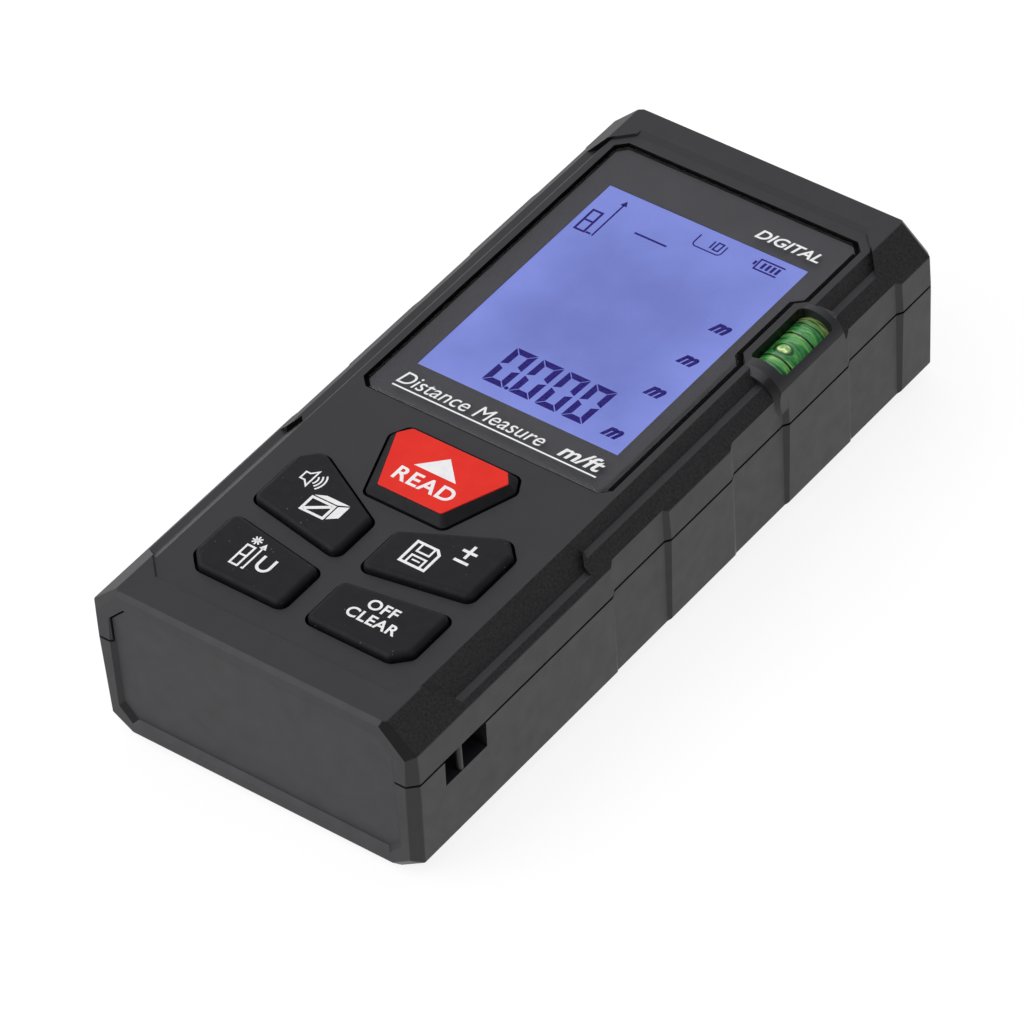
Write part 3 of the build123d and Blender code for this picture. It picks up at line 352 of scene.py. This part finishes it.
def fluid_look():
    """Green fluid with painted light: streaks round the tube for light bent by it, yellowish painted glints,
    tan bands at its far end, and a glow though it is no lamp.
    """
    look = Look("level_fluid", specular=0.35, coat=0.15)
    _, y, _ = look.axes(look.position)
    wave = look.noise(1.3, 3.0, stretch=(0.45, 1.5, 0.45), distortion=1.1)
    # Darker and lighter streaks round the tube and yellowish glints: painted light.
    green_with_painted_light = look.ramp(
        wave, (0.28, (0.01, 0.09, 0.03)), (0.44, (0.035, 0.2, 0.055)),
        (0.56, (0.075, 0.31, 0.075)), (0.72, (0.24, 0.5, 0.12)),
    )
    tan = look.ramp(look.noise(0.5, 2.0, stretch=(0.25, 1.8, 0.25)),
                    (0.38, (0.015, 0.09, 0.02)), (0.52, (0.13, 0.2, 0.06)), (0.7, (0.42, 0.43, 0.18)))
    far_end = look.node("ShaderNodeMapRange")
    look.feed(far_end.inputs["Value"], y)
    far_end.inputs["From Min"].default_value = TAN_BAND[0]
    far_end.inputs["From Max"].default_value = TAN_BAND[1]
    body = look.mix(far_end.outputs[0], green_with_painted_light, tan)
    look.color(body)
    look.roughness(look.ramp(look.noise(2.0), (0.3, 0.12), (0.7, 0.22)))
    look.glow(body, LEVEL_GLOW)
    look.bump(look.noise(0.9, 2.0, stretch=(0.5, 1.2, 0.5)), 0.04)
    return look


def bubble_look(centre_x, centre_y, half_x, half_y):
    """The air bubble: a painted dark edge, the shade of light bent at the bubble's edge, round clear fluid,
    with small painted reflections within it and a glow though it is no lamp.
    """
    look = Look("bubble", specular=0.5, coat=0.5)
    x, y, _ = look.axes(look.position)
    across = look.maths("DIVIDE", look.maths("SUBTRACT", x, centre_x), half_x)
    along = look.maths("DIVIDE", look.maths("SUBTRACT", y, centre_y), half_y)
    square = look.maths("ADD", look.maths("MULTIPLY", across, across), look.maths("MULTIPLY", along, along))
    spread = look.maths("POWER", square, 0.5)
    # A dark ring near the bubble's edge is painted shade; the bright patches within it are painted
    # reflections.
    rim_painted_shade = look.ramp(spread, (0.0, (0.1, 0.3, 0.06)), (0.5, (0.2, 0.42, 0.09)), (0.62, (0.03, 0.16, 0.03)),
                    (0.72, (0.003, 0.03, 0.008)), (0.84, (0.012, 0.09, 0.02)))
    painted_glints = look.ramp(look.noise(0.85, 1.0, distortion=0.6), (0.52, 0.0), (0.6, 1.0))
    inner = look.ramp(spread, (0.5, 1.0), (0.64, 0.0))
    body = look.mix(look.maths("MULTIPLY", painted_glints, inner), rim_painted_shade, (0.78, 0.82, 0.4))
    look.color(body)
    look.roughness(look.ramp(look.noise(0.7), (0.3, 0.06), (0.7, 0.14)))
    look.glow(body, LEVEL_GLOW)
    look.bump(look.noise(0.6, 2.0), 0.03)
    return look


def board_look():
    """Green solder mask over copper tracks."""
    look = Look("board", specular=0.5, coat=0.3)
    across = look.cells(2.2, randomness=0.6, stretch=(1.0, 0.12, 1.0))
    along = look.cells(2.6, randomness=0.6, stretch=(0.12, 1.0, 1.0))
    tracks = look.maths("MAXIMUM", look.ramp(across, (0.16, 1.0), (0.2, 0.0)),
                        look.ramp(along, (0.13, 1.0), (0.17, 0.0)))
    look.color(look.mix(tracks, (0.012, 0.09, 0.035), (0.03, 0.17, 0.06)))
    look.roughness(look.ramp(look.noise(3.0), (0.3, 0.3), (0.7, 0.42)))
    look.bump(tracks, 0.03)
    return look


BRUSHED = (1.0, 1.0, 0.1)


def metal_look(name, low, high):
    """Turned, rolled or plated metal with fine brushing along one axis."""
    look = Look(name, metallic=1.0)
    brushing = look.noise(0.5, 3.0, stretch=BRUSHED)
    look.color(look.ramp(brushing, (0.3, low), (0.7, high)))
    look.roughness(look.ramp(brushing, (0.3, 0.25), (0.7, 0.4)))
    look.bump(look.noise(0.2, 2.0, stretch=BRUSHED), 0.006)
    return look


def cell_look(name, plus_end):
    """A plain wrapped cell: dark sleeve, coppery band towards its button, steel at both ends."""
    look = Look(name, specular=0.5, coat=0.4)
    low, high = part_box(name)
    _, y, _ = look.axes(look.position)
    share = look.node("ShaderNodeMapRange")
    look.feed(share.inputs["Value"], y)
    share.inputs["From Min"].default_value = low.y if plus_end > 0 else high.y
    share.inputs["From Max"].default_value = high.y if plus_end > 0 else low.y
    sleeve = look.ramp(share.outputs[0], (0.0, (0.02, 0.03, 0.06)), (0.66, (0.02, 0.03, 0.06)),
                       (0.67, (0.5, 0.24, 0.09)), (0.95, (0.5, 0.24, 0.09)))
    scuffed = look.mix(look.ramp(look.noise(0.9, 4.0), (0.45, 0.0), (0.75, 0.35)), sleeve, (0.2, 0.19, 0.18))
    _, ny, _ = look.axes(look.normal)
    end = look.between(look.maths("ABSOLUTE", ny), 0.8, 2.0, 0.02)
    look.color(look.mix(end, scuffed, (0.55, 0.55, 0.56)))
    look.feed(look.shader.inputs["Metallic"], end)
    look.roughness(look.ramp(look.noise(1.2, 3.0), (0.3, 0.25), (0.7, 0.38)))
    look.bump(look.noise(0.6, 2.0), 0.01)
    return look


def foam_look():
    """Open-celled black foam."""
    look = Look("foam", specular=0.2)
    holes = look.cells(0.5)
    look.color(look.ramp(holes, (0.1, (0.012, 0.012, 0.014)), (0.6, (0.05, 0.05, 0.055))))
    look.roughness(look.ramp(holes, (0.2, 0.85), (0.6, 0.95)))
    look.bump(holes, 0.12)
    return look


RUBBER = rubber_look("key_rubber", grey(0.0085), grey(0.0125))
STEEL = metal_look("steel", (0.42, 0.42, 0.43), (0.58, 0.58, 0.6))
GOLD = metal_look("gold", (0.75, 0.5, 0.16), (0.9, 0.66, 0.27))
BRACKET = plain("bracket", grey(0.03), grey(0.045), rough=(0.45, 0.6), relief=0.02)
CHIP = plain("chip", grey(0.012), grey(0.02), size=1.5, rough=(0.4, 0.5))
CARBON = plain("carbon", grey(0.008), grey(0.014), size=1.0, rough=(0.7, 0.85), relief=0.02, specular=0.3)
MILKY = plain("light_guide", (0.62, 0.63, 0.66), (0.75, 0.76, 0.8), rough=(0.25, 0.35))
FLEX = plain("flex", (0.28, 0.13, 0.02), (0.36, 0.19, 0.04), size=1.2, rough=(0.3, 0.4), coat=0.3)
DARK_ACRYLIC = plain("dark_acrylic", grey(0.01), grey(0.018), rough=(0.15, 0.25))
MASK = plain("mask", grey(0.044, 1.16), grey(0.047, 1.16), size=8.0, rough=(0.5, 0.6), relief=0.002)
GLOSS = plain("panel_gloss", grey(0.006), grey(0.01), size=6.0, rough=(0.06, 0.12), relief=0.006,
              grain=3.0, coat=0.5)

LOOKS = {
    "upper_shell": CASE, "lower_shell": CASE, "battery_cover": CASE,
    "display_window": glass_look("window", (0.97, 0.97, 0.98), 0.08, 1.22),
    "window_mask": MASK, "lcd_panel": lcd_look(),
    "lcd_backlight": MILKY, "lcd_holder": BRACKET, "lcd_ribbon": FLEX,
    "key_read": RUBBER, "key_function": RUBBER, "key_save": RUBBER, "key_unit": RUBBER, "key_off": RUBBER,
    "key_read_cap": plain("key_red", (0.88, 0.012, 0.002), (0.95, 0.018, 0.004), size=4.0,
                          rough=(0.42, 0.52), relief=0.004, specular=0.3),
    "pill_read": CARBON, "pill_function": CARBON, "pill_save": CARBON, "pill_unit": CARBON,
    "pill_off": CARBON,
    "key_contact_pads": CARBON, "keypad_web": RUBBER,
    "main_pcb": board_look(), "pcb_chips": CHIP, "buzzer": DARK_ACRYLIC, "laser_flex": FLEX,
    "receiver_board": board_look(), "board_header": CHIP,
    "vial_tube": glass_look("acrylic", (0.95, 0.98, 0.95), 0.04, 1.45), "vial_plugs": DARK_ACRYLIC,
    "cover_pad": foam_look(),
    "battery_cell_a": cell_look("battery_cell_a", 1), "battery_cell_b": cell_look("battery_cell_b", -1),
    "battery_contacts": metal_look("spring_steel", (0.55, 0.54, 0.5), (0.7, 0.69, 0.65)),
    "battery_springs": metal_look("spring_wire", (0.5, 0.49, 0.46), (0.66, 0.65, 0.62)),
    "front_panel": GLOSS,
    "laser_window": glass_look("lens_window", (0.8, 0.82, 0.9), 0.03, 1.5),
    "receiver_window": glass_look("receiver_filter", (0.5, 0.08, 0.1), 0.03, 1.5),
    "optics_bracket": BRACKET,
    "laser_barrel": metal_look("barrel_brass", (0.6, 0.42, 0.16), (0.76, 0.56, 0.25)),
    "laser_diode": GOLD, "collimator_lens": glass_look("lens", (0.85, 0.88, 0.95), 0.02, 1.5),
    "receiver_lens": glass_look("receiver_lens", (0.8, 0.86, 0.92), 0.02, 1.5),
    "receiver_shroud": BRACKET, "photodiode": metal_look("can_steel", (0.5, 0.5, 0.5), (0.64, 0.64, 0.63)),
    "case_screws": STEEL, "pcb_screws": STEEL, "bracket_screws": STEEL,
}


def dress(piece, look):
    """Gives a piece its look through a material slot of its own."""
    if not piece.material_slots:
        piece.data.materials.append(None)
    for place in piece.material_slots:
        place.link = "OBJECT"
        place.material = look.material


for node_name, node_look in LOOKS.items():
    dress(nodes[node_name], node_look)


# ---------- mesh helpers, in millimetres ----------
WELD, LETTER_WELD = 0.01 * MM, 0.004 * MM
LIFT = 0.012
PRINT_T = 0.03


def add_piece(name, mesh, look, body):
    piece = bpy.data.objects.new(name, mesh)
    bpy.context.scene.collection.objects.link(piece)
    dress(piece, look)
    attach(piece, body)
    return piece


def slab(name, outlines, z, thickness, look, body):
    """Flat marks, each a closed outline, as one thin closed slab whose top lies at z."""
    bm = bmesh.new()
    for outline in outlines:
        bm.faces.new([bm.verts.new((x * MM, y * MM, z * MM)) for x, y in outline])
    bmesh.ops.remove_doubles(bm, verts=bm.verts, dist=WELD)
    bmesh.ops.recalc_face_normals(bm, faces=bm.faces)
    bmesh.ops.reverse_faces(bm, faces=[f for f in bm.faces if f.normal.z < 0])
    mesh = bpy.data.meshes.new(name)
    bm.to_mesh(mesh)
    bm.free()
    piece = add_piece(name, mesh, look, body)
    thick = piece.modifiers.new("thickness", "SOLIDIFY")
    thick.thickness = thickness * MM
    thick.offset = -1.0
    return piece


def stroke(points, width, closed=False):
    """Outlines that together draw a line of one width through the points, with mitred corners."""
    count = len(points)
    sides = []
    for i, here in enumerate(points):
        before = points[i - 1] if closed or i > 0 else None
        after = points[(i + 1) % count] if closed or i < count - 1 else None
        ways = []
        for a, b in ((before, here), (here, after)):
            if a is not None and b is not None:
                ways.append((Vector(b) - Vector(a)).normalized())
        normal = sum((Vector((-w.y, w.x)) for w in ways), Vector((0, 0))).normalized()
        reach = width / 2 / max(0.3, normal.dot(Vector((-ways[0].y, ways[0].x))))
        sides.append((Vector(here) + normal * reach, Vector(here) - normal * reach))
    pieces = []
    for i in range(count if closed else count - 1):
        (a0, a1), (b0, b1) = sides[i], sides[(i + 1) % count]
        pieces.append([tuple(a0), tuple(b0), tuple(b1), tuple(a1)])
    return pieces


def arc(cx, cy, r, start, end, steps=10):
    turns = [math.radians(start + (end - start) * i / steps) for i in range(steps + 1)]
    return [(cx + r * math.cos(t), cy + r * math.sin(t)) for t in turns]


def rectangle(x0, x1, y0, y1):
    return [(x0, y0), (x1, y0), (x1, y1), (x0, y1)]


def lettering(name, text, box, z, look, body, weight=0.0, lean=0.0, spacing=1.0, thickness=PRINT_T):
    """Raised print, scaled so that it fills box (x0, x1, y0, y1). Its top lies at z."""
    curve = bpy.data.curves.new(name, "FONT")
    curve.body = text
    curve.size = 1.0
    curve.shear = lean
    curve.offset = weight
    curve.space_character = spacing
    curve.extrude = 0.5
    curve.resolution_u = 6
    holder = bpy.data.objects.new(name, curve)
    bpy.context.scene.collection.objects.link(holder)
    bpy.context.view_layer.update()
    mesh = bpy.data.meshes.new_from_object(holder.evaluated_get(bpy.context.evaluated_depsgraph_get()))
    bpy.data.objects.remove(holder)
    bpy.data.curves.remove(curve)
    mesh.materials.clear()
    xs = [v.co.x for v in mesh.vertices]
    ys = [v.co.y for v in mesh.vertices]
    x0, x1, y0, y1 = box
    for v in mesh.vertices:
        v.co = Vector((
            x0 + (v.co.x - min(xs)) / (max(xs) - min(xs)) * (x1 - x0),
            y0 + (v.co.y - min(ys)) / (max(ys) - min(ys)) * (y1 - y0),
            z + (v.co.z - 0.5) * thickness,
        )) * MM
    bm = bmesh.new()
    bm.from_mesh(mesh)
    bmesh.ops.remove_doubles(bm, verts=bm.verts, dist=LETTER_WELD)
    bm.to_mesh(mesh)
    bm.free()
    return add_piece(name, mesh, look, body)


def lathe(name, profile, steps, look, body, centre, hollow=False):
    """A form turned about an axis along Y, from a profile of (place along Y, radius).

    It is closed by a flat end at each end of the profile, or if hollow by joining the profile's ends.
    """
    bm = bmesh.new()
    rings = []
    for y, r in profile:
        ring = []
        for i in range(steps):
            t = 2 * math.pi * i / steps
            place = (centre[0] + r * math.cos(t), centre[1] + y, centre[2] + r * math.sin(t))
            ring.append(bm.verts.new(Vector(place) * MM))
        rings.append(ring)
    for a, b in zip(rings, rings[1:] + rings[:1] if hollow else rings[1:]):
        for i in range(steps):
            bm.faces.new((a[i], a[(i + 1) % steps], b[(i + 1) % steps], b[i]))
    if not hollow:
        bm.faces.new(rings[0])
        bm.faces.new(list(reversed(rings[-1])))
    bmesh.ops.recalc_face_normals(bm, faces=bm.faces)
    mesh = bpy.data.meshes.new(name)
    bm.to_mesh(mesh)
    bm.free()
    for polygon in mesh.polygons:
        polygon.use_smooth = len(polygon.vertices) == 4
    return add_piece(name, mesh, look, body)


# ---------- display ----------
INK = ink_look("lcd_ink", (0.006, 0.002, 0.09), (0.012, 0.004, 0.13), glow=0.7)
INK_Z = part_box("lcd_panel")[1].z / MM + 0.03
INK_T = 0.025


def lcd_mark(name, outlines):
    return slab(name, outlines, INK_Z, INK_T, INK, "case")


DIGIT_W, DIGIT_H, DIGIT_PITCH, DIGIT_LEAN = 3.35, 7.25, 4.2, 0.055
SEGMENT_T, SEGMENT_GAP = 0.95, 0.1
DIGITS_AT = (-7.35, 1.7)


def zero_figure(x, y, w, h, t, gap):
    """The six lit bars of a seven-segment nought, with mitred ends, leaning a little."""
    mid = h / 2
    half = t / 2
    bars = [
        [(gap, h), (w - gap, h), (w - gap - t, h - t), (gap + t, h - t)],
        [(w, h - gap), (w, mid + gap), (w - t, mid + gap + half), (w - t, h - gap - t)],
        [(w, gap), (w - t, gap + t), (w - t, mid - gap - half), (w, mid - gap)],
        [(gap, 0), (gap + t, t), (w - gap - t, t), (w - gap, 0)],
        [(0, gap), (0, mid - gap), (t, mid - gap - half), (t, gap + t)],
        [(0, h - gap), (t, h - gap - t), (t, mid + gap + half), (0, mid + gap)],
    ]
    return [[(x + px + py * DIGIT_LEAN, y + py) for px, py in bar] for bar in bars]


digits = []
for i in range(4):
    digit_x = DIGITS_AT[0] + i * DIGIT_PITCH
    digits += zero_figure(digit_x, DIGITS_AT[1], DIGIT_W, DIGIT_H, SEGMENT_T, SEGMENT_GAP)
digits.append(arc(DIGITS_AT[0] + DIGIT_W + 0.42, DIGITS_AT[1] + 0.3, 0.3, 0, 330, 11))
lcd_mark("lcd_digits", digits)

UNIT_X = (11.45, 14.2)
for i, row_y in enumerate((1.65, 10.75, 17.85, 25.0)):
    lettering(f"lcd_unit_{i}", "m", (*UNIT_X, row_y, row_y + 1.9), INK_Z, INK, "case",
              weight=0.05, lean=0.45, thickness=INK_T)

marks = stroke([(-14.9, 31.8), (-14.9, 36.0), (-13.4, 36.0), (-13.4, 31.8)], 0.34, closed=True)
marks += stroke([(-14.75, 33.9), (-13.55, 33.9)], 0.34)
marks += stroke([(-13.15, 31.9), (-12.4, 31.9)], 0.34)
marks += stroke([(-12.05, 31.7), (-12.05, 38.9)], 0.24)
marks.append([(-12.55, 38.7), (-11.55, 38.7), (-12.05, 39.7)])
marks += stroke([(-7.65, 35.2), (-2.55, 35.2)], 0.32)
bracket_line = [
    (-0.1, 39.65), *arc(0.5, 37.95, 0.6, 180, 270, 4), *arc(3.7, 37.95, 0.6, 270, 360, 4), (4.3, 39.4),
]
marks += stroke(bracket_line, 0.2)
marks += stroke([(2.3, 38.0), (2.3, 39.5)], 0.24)
marks += stroke([(2.8, 38.0), (3.6, 38.0), (3.7, 39.5), (2.9, 39.5)], 0.24, closed=True)
marks += stroke([(12.9, 37.9), (9.4, 37.9), (9.4, 39.9), (13.1, 39.9)], 0.26)
marks += stroke([(8.95, 38.5), (8.95, 39.3)], 0.35)
for i in range(4):
    x = 10.05 + i * 0.75
    marks.append([(x, 38.3), (x + 0.42, 38.3), (x + 0.5, 39.5), (x + 0.08, 39.5)])
lcd_mark("lcd_symbols", marks)

# ---------- black ring under the window's edge, painted shade that shows as a dark line all round it ---
w0, w1 = (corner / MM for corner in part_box("display_window"))
MASK_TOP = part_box("window_mask")[1].z / MM
EDGE_SHADE_T = 0.02
EDGE_SHADE_Z, BAND_Z = MASK_TOP + 0.03, MASK_TOP + 0.005
EDGE_SHADE = plain("window_edge_shade", grey(0.001), grey(0.002), size=0.8, rough=(0.8, 0.9), specular=0.05)
EDGE_SHADE_REACH = 0.28
WINDOW_CUT = 1.4
NOTCH_X = 18.1
NOTCH_Y = (21.3, 22.9, 34.7, 36.0)
BEVEL_SHADE_WIDTH = 0.76
window_edge = [
    (w0.x + WINDOW_CUT, w0.y), (w1.x - WINDOW_CUT, w0.y), (w1.x, w0.y + WINDOW_CUT), (w1.x, NOTCH_Y[0]),
    (NOTCH_X, NOTCH_Y[1]), (NOTCH_X, NOTCH_Y[2]), (w1.x, NOTCH_Y[3]), (w1.x, w1.y - WINDOW_CUT),
    (w1.x - WINDOW_CUT, w1.y), (w0.x + WINDOW_CUT, w1.y), (w0.x, w1.y - WINDOW_CUT),
    (w0.x, w0.y + WINDOW_CUT),
]
edge_shade_ring = stroke(window_edge, 2 * EDGE_SHADE_REACH, closed=True)
slab("window_edge_shade", edge_shade_ring, EDGE_SHADE_Z, EDGE_SHADE_T, EDGE_SHADE, "case")
# On the level's side the black reaches further in, so the window's bevel there is dark too: painted shade on
# the bevel that faces away from the light.
band_x, band_notch_x = w1.x - BEVEL_SHADE_WIDTH / 2, NOTCH_X - BEVEL_SHADE_WIDTH / 2
band_path = [
    (band_x, w0.y + WINDOW_CUT), (band_x, NOTCH_Y[0]), (band_notch_x, NOTCH_Y[1]), (band_notch_x, NOTCH_Y[2]),
    (band_x, NOTCH_Y[3]), (band_x, w1.y - WINDOW_CUT),
]
slab("window_bevel_shade", stroke(band_path, BEVEL_SHADE_WIDTH), BAND_Z, EDGE_SHADE_T, EDGE_SHADE, "case")

# ---------- print on the window ----------
# The white print glows a little though it is no lamp: painted light.
WHITE = ink_look("white_ink", (0.84, 0.84, 0.85), (0.93, 0.93, 0.94), glow=0.12)
GLASS_TOP = w1.z + LIFT
PRINT_LEAN = 0.25
lettering("window_title", "Distance Measure", (-15.8, 7.2, -5.25, -2.95), GLASS_TOP, WHITE, "case",
          lean=PRINT_LEAN)
lettering("window_units", "m/ft", (9.8, 16.3, -5.2, -2.75), GLASS_TOP, WHITE, "case",
          weight=0.02, lean=PRINT_LEAN)
lettering("window_kind", "DIGITAL", (6.4, 16.4, 42.3, 44.1), GLASS_TOP, WHITE, "case",
          weight=0.02, lean=PRINT_LEAN)
slab("window_line", [rectangle(-15.8, 16.5, -6.0, -5.75)], GLASS_TOP, PRINT_T, WHITE, "case")

# ---------- print on the keys ----------
KEY_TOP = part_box("key_off")[1].z / MM + LIFT
CAP_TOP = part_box("key_read_cap")[1].z / MM + LIFT


def key_mark(key, outlines, z=KEY_TOP):
    return slab(key + "_mark", outlines, z, PRINT_T, WHITE, key)


key_mark("key_read", [[(-3.3, -17.4), (3.3, -17.4), (0.0, -14.1)]], CAP_TOP)
lettering("key_read_word", "READ", (-4.5, 4.6, -20.75, -18.3), CAP_TOP, WHITE, "key_read",
          weight=0.02, spacing=1.1)
lettering("key_off_word", "OFF", (7.2, 11.7, -41.0, -39.2), KEY_TOP, WHITE, "key_off",
          weight=0.022, spacing=1.08)
lettering("key_clear_word", "CLEAR", (5.7, 13.4, -43.4, -41.6), KEY_TOP, WHITE, "key_off",
          weight=0.022, spacing=1.08)

speaker = stroke([(-14.0, -25.7), (-13.3, -25.7), (-12.5, -24.9), (-12.5, -27.8), (-13.3, -27.0),
                  (-14.0, -27.0)], 0.24, closed=True)
for i in range(3):
    speaker += stroke(arc(-12.9, -26.35, 1.1 + i * 0.55, -38, 38, 6), 0.24)
box_icon = stroke([(-10.5, -31.4), (-10.5, -28.9), (-7.0, -28.9), (-7.0, -31.4)], 0.4, closed=True)
box_icon += stroke([(-10.3, -31.2), (-7.2, -29.1)], 0.5)
box_icon.append([(-10.5, -28.5), (-9.0, -27.8), (-5.4, -27.8), (-6.9, -28.5)])
box_icon.append([(-6.6, -28.7), (-5.3, -28.0), (-5.3, -30.3), (-6.6, -31.3)])
key_mark("key_function", speaker + box_icon)

save = stroke([(5.6, -32.0), (5.6, -28.1), (8.7, -28.1), (9.4, -28.8), (9.4, -32.0)], 0.4, closed=True)
save += stroke([(6.5, -28.3), (6.5, -29.6), (8.4, -29.6), (8.4, -28.3)], 0.3)
save += stroke([(6.4, -31.8), (6.4, -30.4), (8.6, -30.4), (8.6, -31.8)], 0.3)
save += stroke([(6.9, -31.1), (8.1, -31.1)], 0.25)
save.append(rectangle(11.2, 13.4, -26.5, -26.05))
save += [rectangle(12.08, 12.52, -26.05, -25.0), rectangle(12.08, 12.52, -27.5, -26.5)]
save.append(rectangle(11.2, 13.4, -28.4, -27.95))
key_mark("key_save", save)

unit = stroke([(-11.9, -43.9), (-11.9, -40.2), (-10.7, -40.2), (-10.7, -43.9)], 0.3, closed=True)
unit += stroke([(-11.8, -42.0), (-10.8, -42.0)], 0.3)
unit += stroke([(-10.1, -43.9), (-9.8, -43.9), (-9.8, -39.6)], 0.26)
unit.append([(-10.3, -39.9), (-9.3, -39.9), (-9.8, -38.9)])
for angle in (0, 45, 90, 135):
    c, s = 0.75 * math.cos(math.radians(angle)), 0.75 * math.sin(math.radians(angle))
    unit += stroke([(-11.3 - c, -39.0 - s), (-11.3 + c, -39.0 + s)], 0.22)
hook = [
    (-8.65, -40.6), (-8.65, -42.2), *arc(-7.75, -42.2, 0.9, 200, 340, 8), (-6.85, -42.2), (-6.85, -40.6),
]
unit += stroke(hook, 0.42)
key_mark("key_unit", unit)

# ---------- level vial ----------
tube_low, tube_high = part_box("vial_tube")
AXIS = ((tube_low.x + tube_high.x) / 2 / MM, 0.0, (tube_low.z + tube_high.z) / 2 / MM)
fluid_low, fluid_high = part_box("vial_liquid")
F0, F1 = fluid_low.y / MM, fluid_high.y / MM
FLUID_R = 2.9
TUBE_STEPS = 64
fluid = lathe("level_fluid", [(F0 + 0.02, FLUID_R - 0.35), (F0 + 0.14, FLUID_R - 0.1), (F0 + 0.4, FLUID_R),
                              (F1 - 0.4, FLUID_R), (F1 - 0.14, FLUID_R - 0.1), (F1 - 0.02, FLUID_R - 0.35)],
              TUBE_STEPS, fluid_look(), "case", AXIS)
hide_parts("vial_liquid")

# The rings stand clear of the bubble, which slides under them.
RING_T = 0.3
RING_IN, RING_OUT = FLUID_R + 0.06, FLUID_R + 0.1
RING = plain("level_ring", grey(0.004), grey(0.008), size=0.6, rough=(0.3, 0.4))
for i, ring_y in enumerate((25.85, 30.75, 32.95)):
    half = RING_T / 2 if i < 2 else RING_T / 4
    lathe(f"level_ring_{i}", [(ring_y - half, RING_IN), (ring_y - half * 0.6, RING_OUT),
                              (ring_y + half * 0.6, RING_OUT), (ring_y + half, RING_IN)],
          TUBE_STEPS, RING, "case", AXIS, hollow=True)

air_low, air_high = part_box("vial_bubble")
AIR_SHIFT = -0.2
air_y = (air_low.y + air_high.y) / 2 / MM + AIR_SHIFT
AIR_HALF_L, AIR_HALF_W, AIR_RISE, AIR_SINK = 1.2, 1.65, 0.04, 0.033
bm = bmesh.new()
bmesh.ops.create_uvsphere(bm, u_segments=48, v_segments=24, radius=1.0)
for v in bm.verts:
    x = v.co.x * AIR_HALF_W
    arch = math.sqrt(max(0.0, FLUID_R ** 2 - x * x))
    crown = arch - AIR_SINK + v.co.z * (AIR_RISE + AIR_SINK)
    v.co = Vector((AXIS[0] + x, air_y + v.co.y * AIR_HALF_L, AXIS[2] + crown)) * MM
air_mesh = bpy.data.meshes.new("air_bubble")
bm.to_mesh(air_mesh)
bm.free()
for polygon in air_mesh.polygons:
    polygon.use_smooth = True
air_look = bubble_look(AXIS[0] * MM, air_y * MM, AIR_HALF_W * MM, AIR_HALF_L * MM)
air = add_piece("air_bubble", air_mesh, air_look, "bubble")
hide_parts("vial_bubble")

# ---------- floor and light ----------
FLOOR_HALF = 1.5
FLOOR_DROP = 0.05 * MM
FLOOR_GLOW = 0.86
floor_mesh = bpy.data.meshes.new("floor")
floor_corners = rectangle(-FLOOR_HALF, FLOOR_HALF, -FLOOR_HALF, FLOOR_HALF)
floor_mesh.from_pydata([(x, y, 0) for x, y in floor_corners], [], [(0, 1, 2, 3)])
floor = bpy.data.objects.new("floor", floor_mesh)
floor.location = (0, 0, cad_low.z - FLOOR_DROP)
bpy.context.scene.collection.objects.link(floor)
floor_look = Look("floor", specular=0.0)
floor_look.color(floor_look.ramp(floor_look.noise(60.0), (0.3, 0.21), (0.7, 0.24)))
floor_look.roughness(0.9)
floor_look.glow((1.0, 1.0, 1.0, 1.0), FLOOR_GLOW)
dress(floor, floor_look)

world = bpy.data.worlds.new("studio")
bpy.context.scene.world = world
world.use_nodes = True
sky = world.node_tree
direction = sky.nodes.new("ShaderNodeTexCoord")
SKY_LEVEL = 0.86
# Soft patches of the studio: (towards, cosine where it starts, cosine where it is full, level there)
SKY_PATCHES = [
    ((0.65, 0.56, 0.51), 0.62, 0.95, 0.3),
    ((0.6, -0.75, 0.28), 0.62, 0.93, 0.12),
    ((-0.47, -0.68, 0.56), 0.75, 0.97, 1.9),
]
level = None
for towards, start, full, patch_level in SKY_PATCHES:
    cosine = sky.nodes.new("ShaderNodeVectorMath")
    cosine.operation = "DOT_PRODUCT"
    sky.links.new(direction.outputs["Generated"], cosine.inputs[0])
    cosine.inputs[1].default_value = Vector(towards).normalized()
    fade = sky.nodes.new("ShaderNodeMapRange")
    fade.interpolation_type = "SMOOTHSTEP"
    sky.links.new(cosine.outputs["Value"], fade.inputs["Value"])
    fade.inputs["From Min"].default_value = start
    fade.inputs["From Max"].default_value = full
    fade.inputs["To Min"].default_value = 1.0
    fade.inputs["To Max"].default_value = patch_level
    if level is None:
        level = fade.outputs["Result"]
    else:
        product = sky.nodes.new("ShaderNodeMath")
        product.operation = "MULTIPLY"
        sky.links.new(level, product.inputs[0])
        sky.links.new(fade.outputs["Result"], product.inputs[1])
        level = product.outputs[0]
strength = sky.nodes.new("ShaderNodeMath")
strength.operation = "MULTIPLY"
sky.links.new(level, strength.inputs[0])
strength.inputs[1].default_value = SKY_LEVEL
sky.links.new(strength.outputs[0], sky.nodes["Background"].inputs["Strength"])
sky.nodes["Background"].inputs["Color"].default_value = (1.0, 1.0, 1.0, 1.0)

LAMP_PLACE = Vector((-0.6, -0.85, 0.75))
LAMP_AIM = Vector((0.0, 0.0, 12 * MM))
LAMP_SIZE = (0.9, 0.6)
LAMP_WATTS = 2.0
light = bpy.data.lights.new("key_light", "AREA")
light.shape = "RECTANGLE"
light.size, light.size_y = LAMP_SIZE
light.energy = LAMP_WATTS
lamp = bpy.data.objects.new("key_light", light)
lamp.location = LAMP_PLACE
lamp.rotation_mode = "QUATERNION"
lamp.rotation_quaternion = (LAMP_AIM - LAMP_PLACE).to_track_quat("-Z", "Y")
bpy.context.scene.collection.objects.link(lamp)
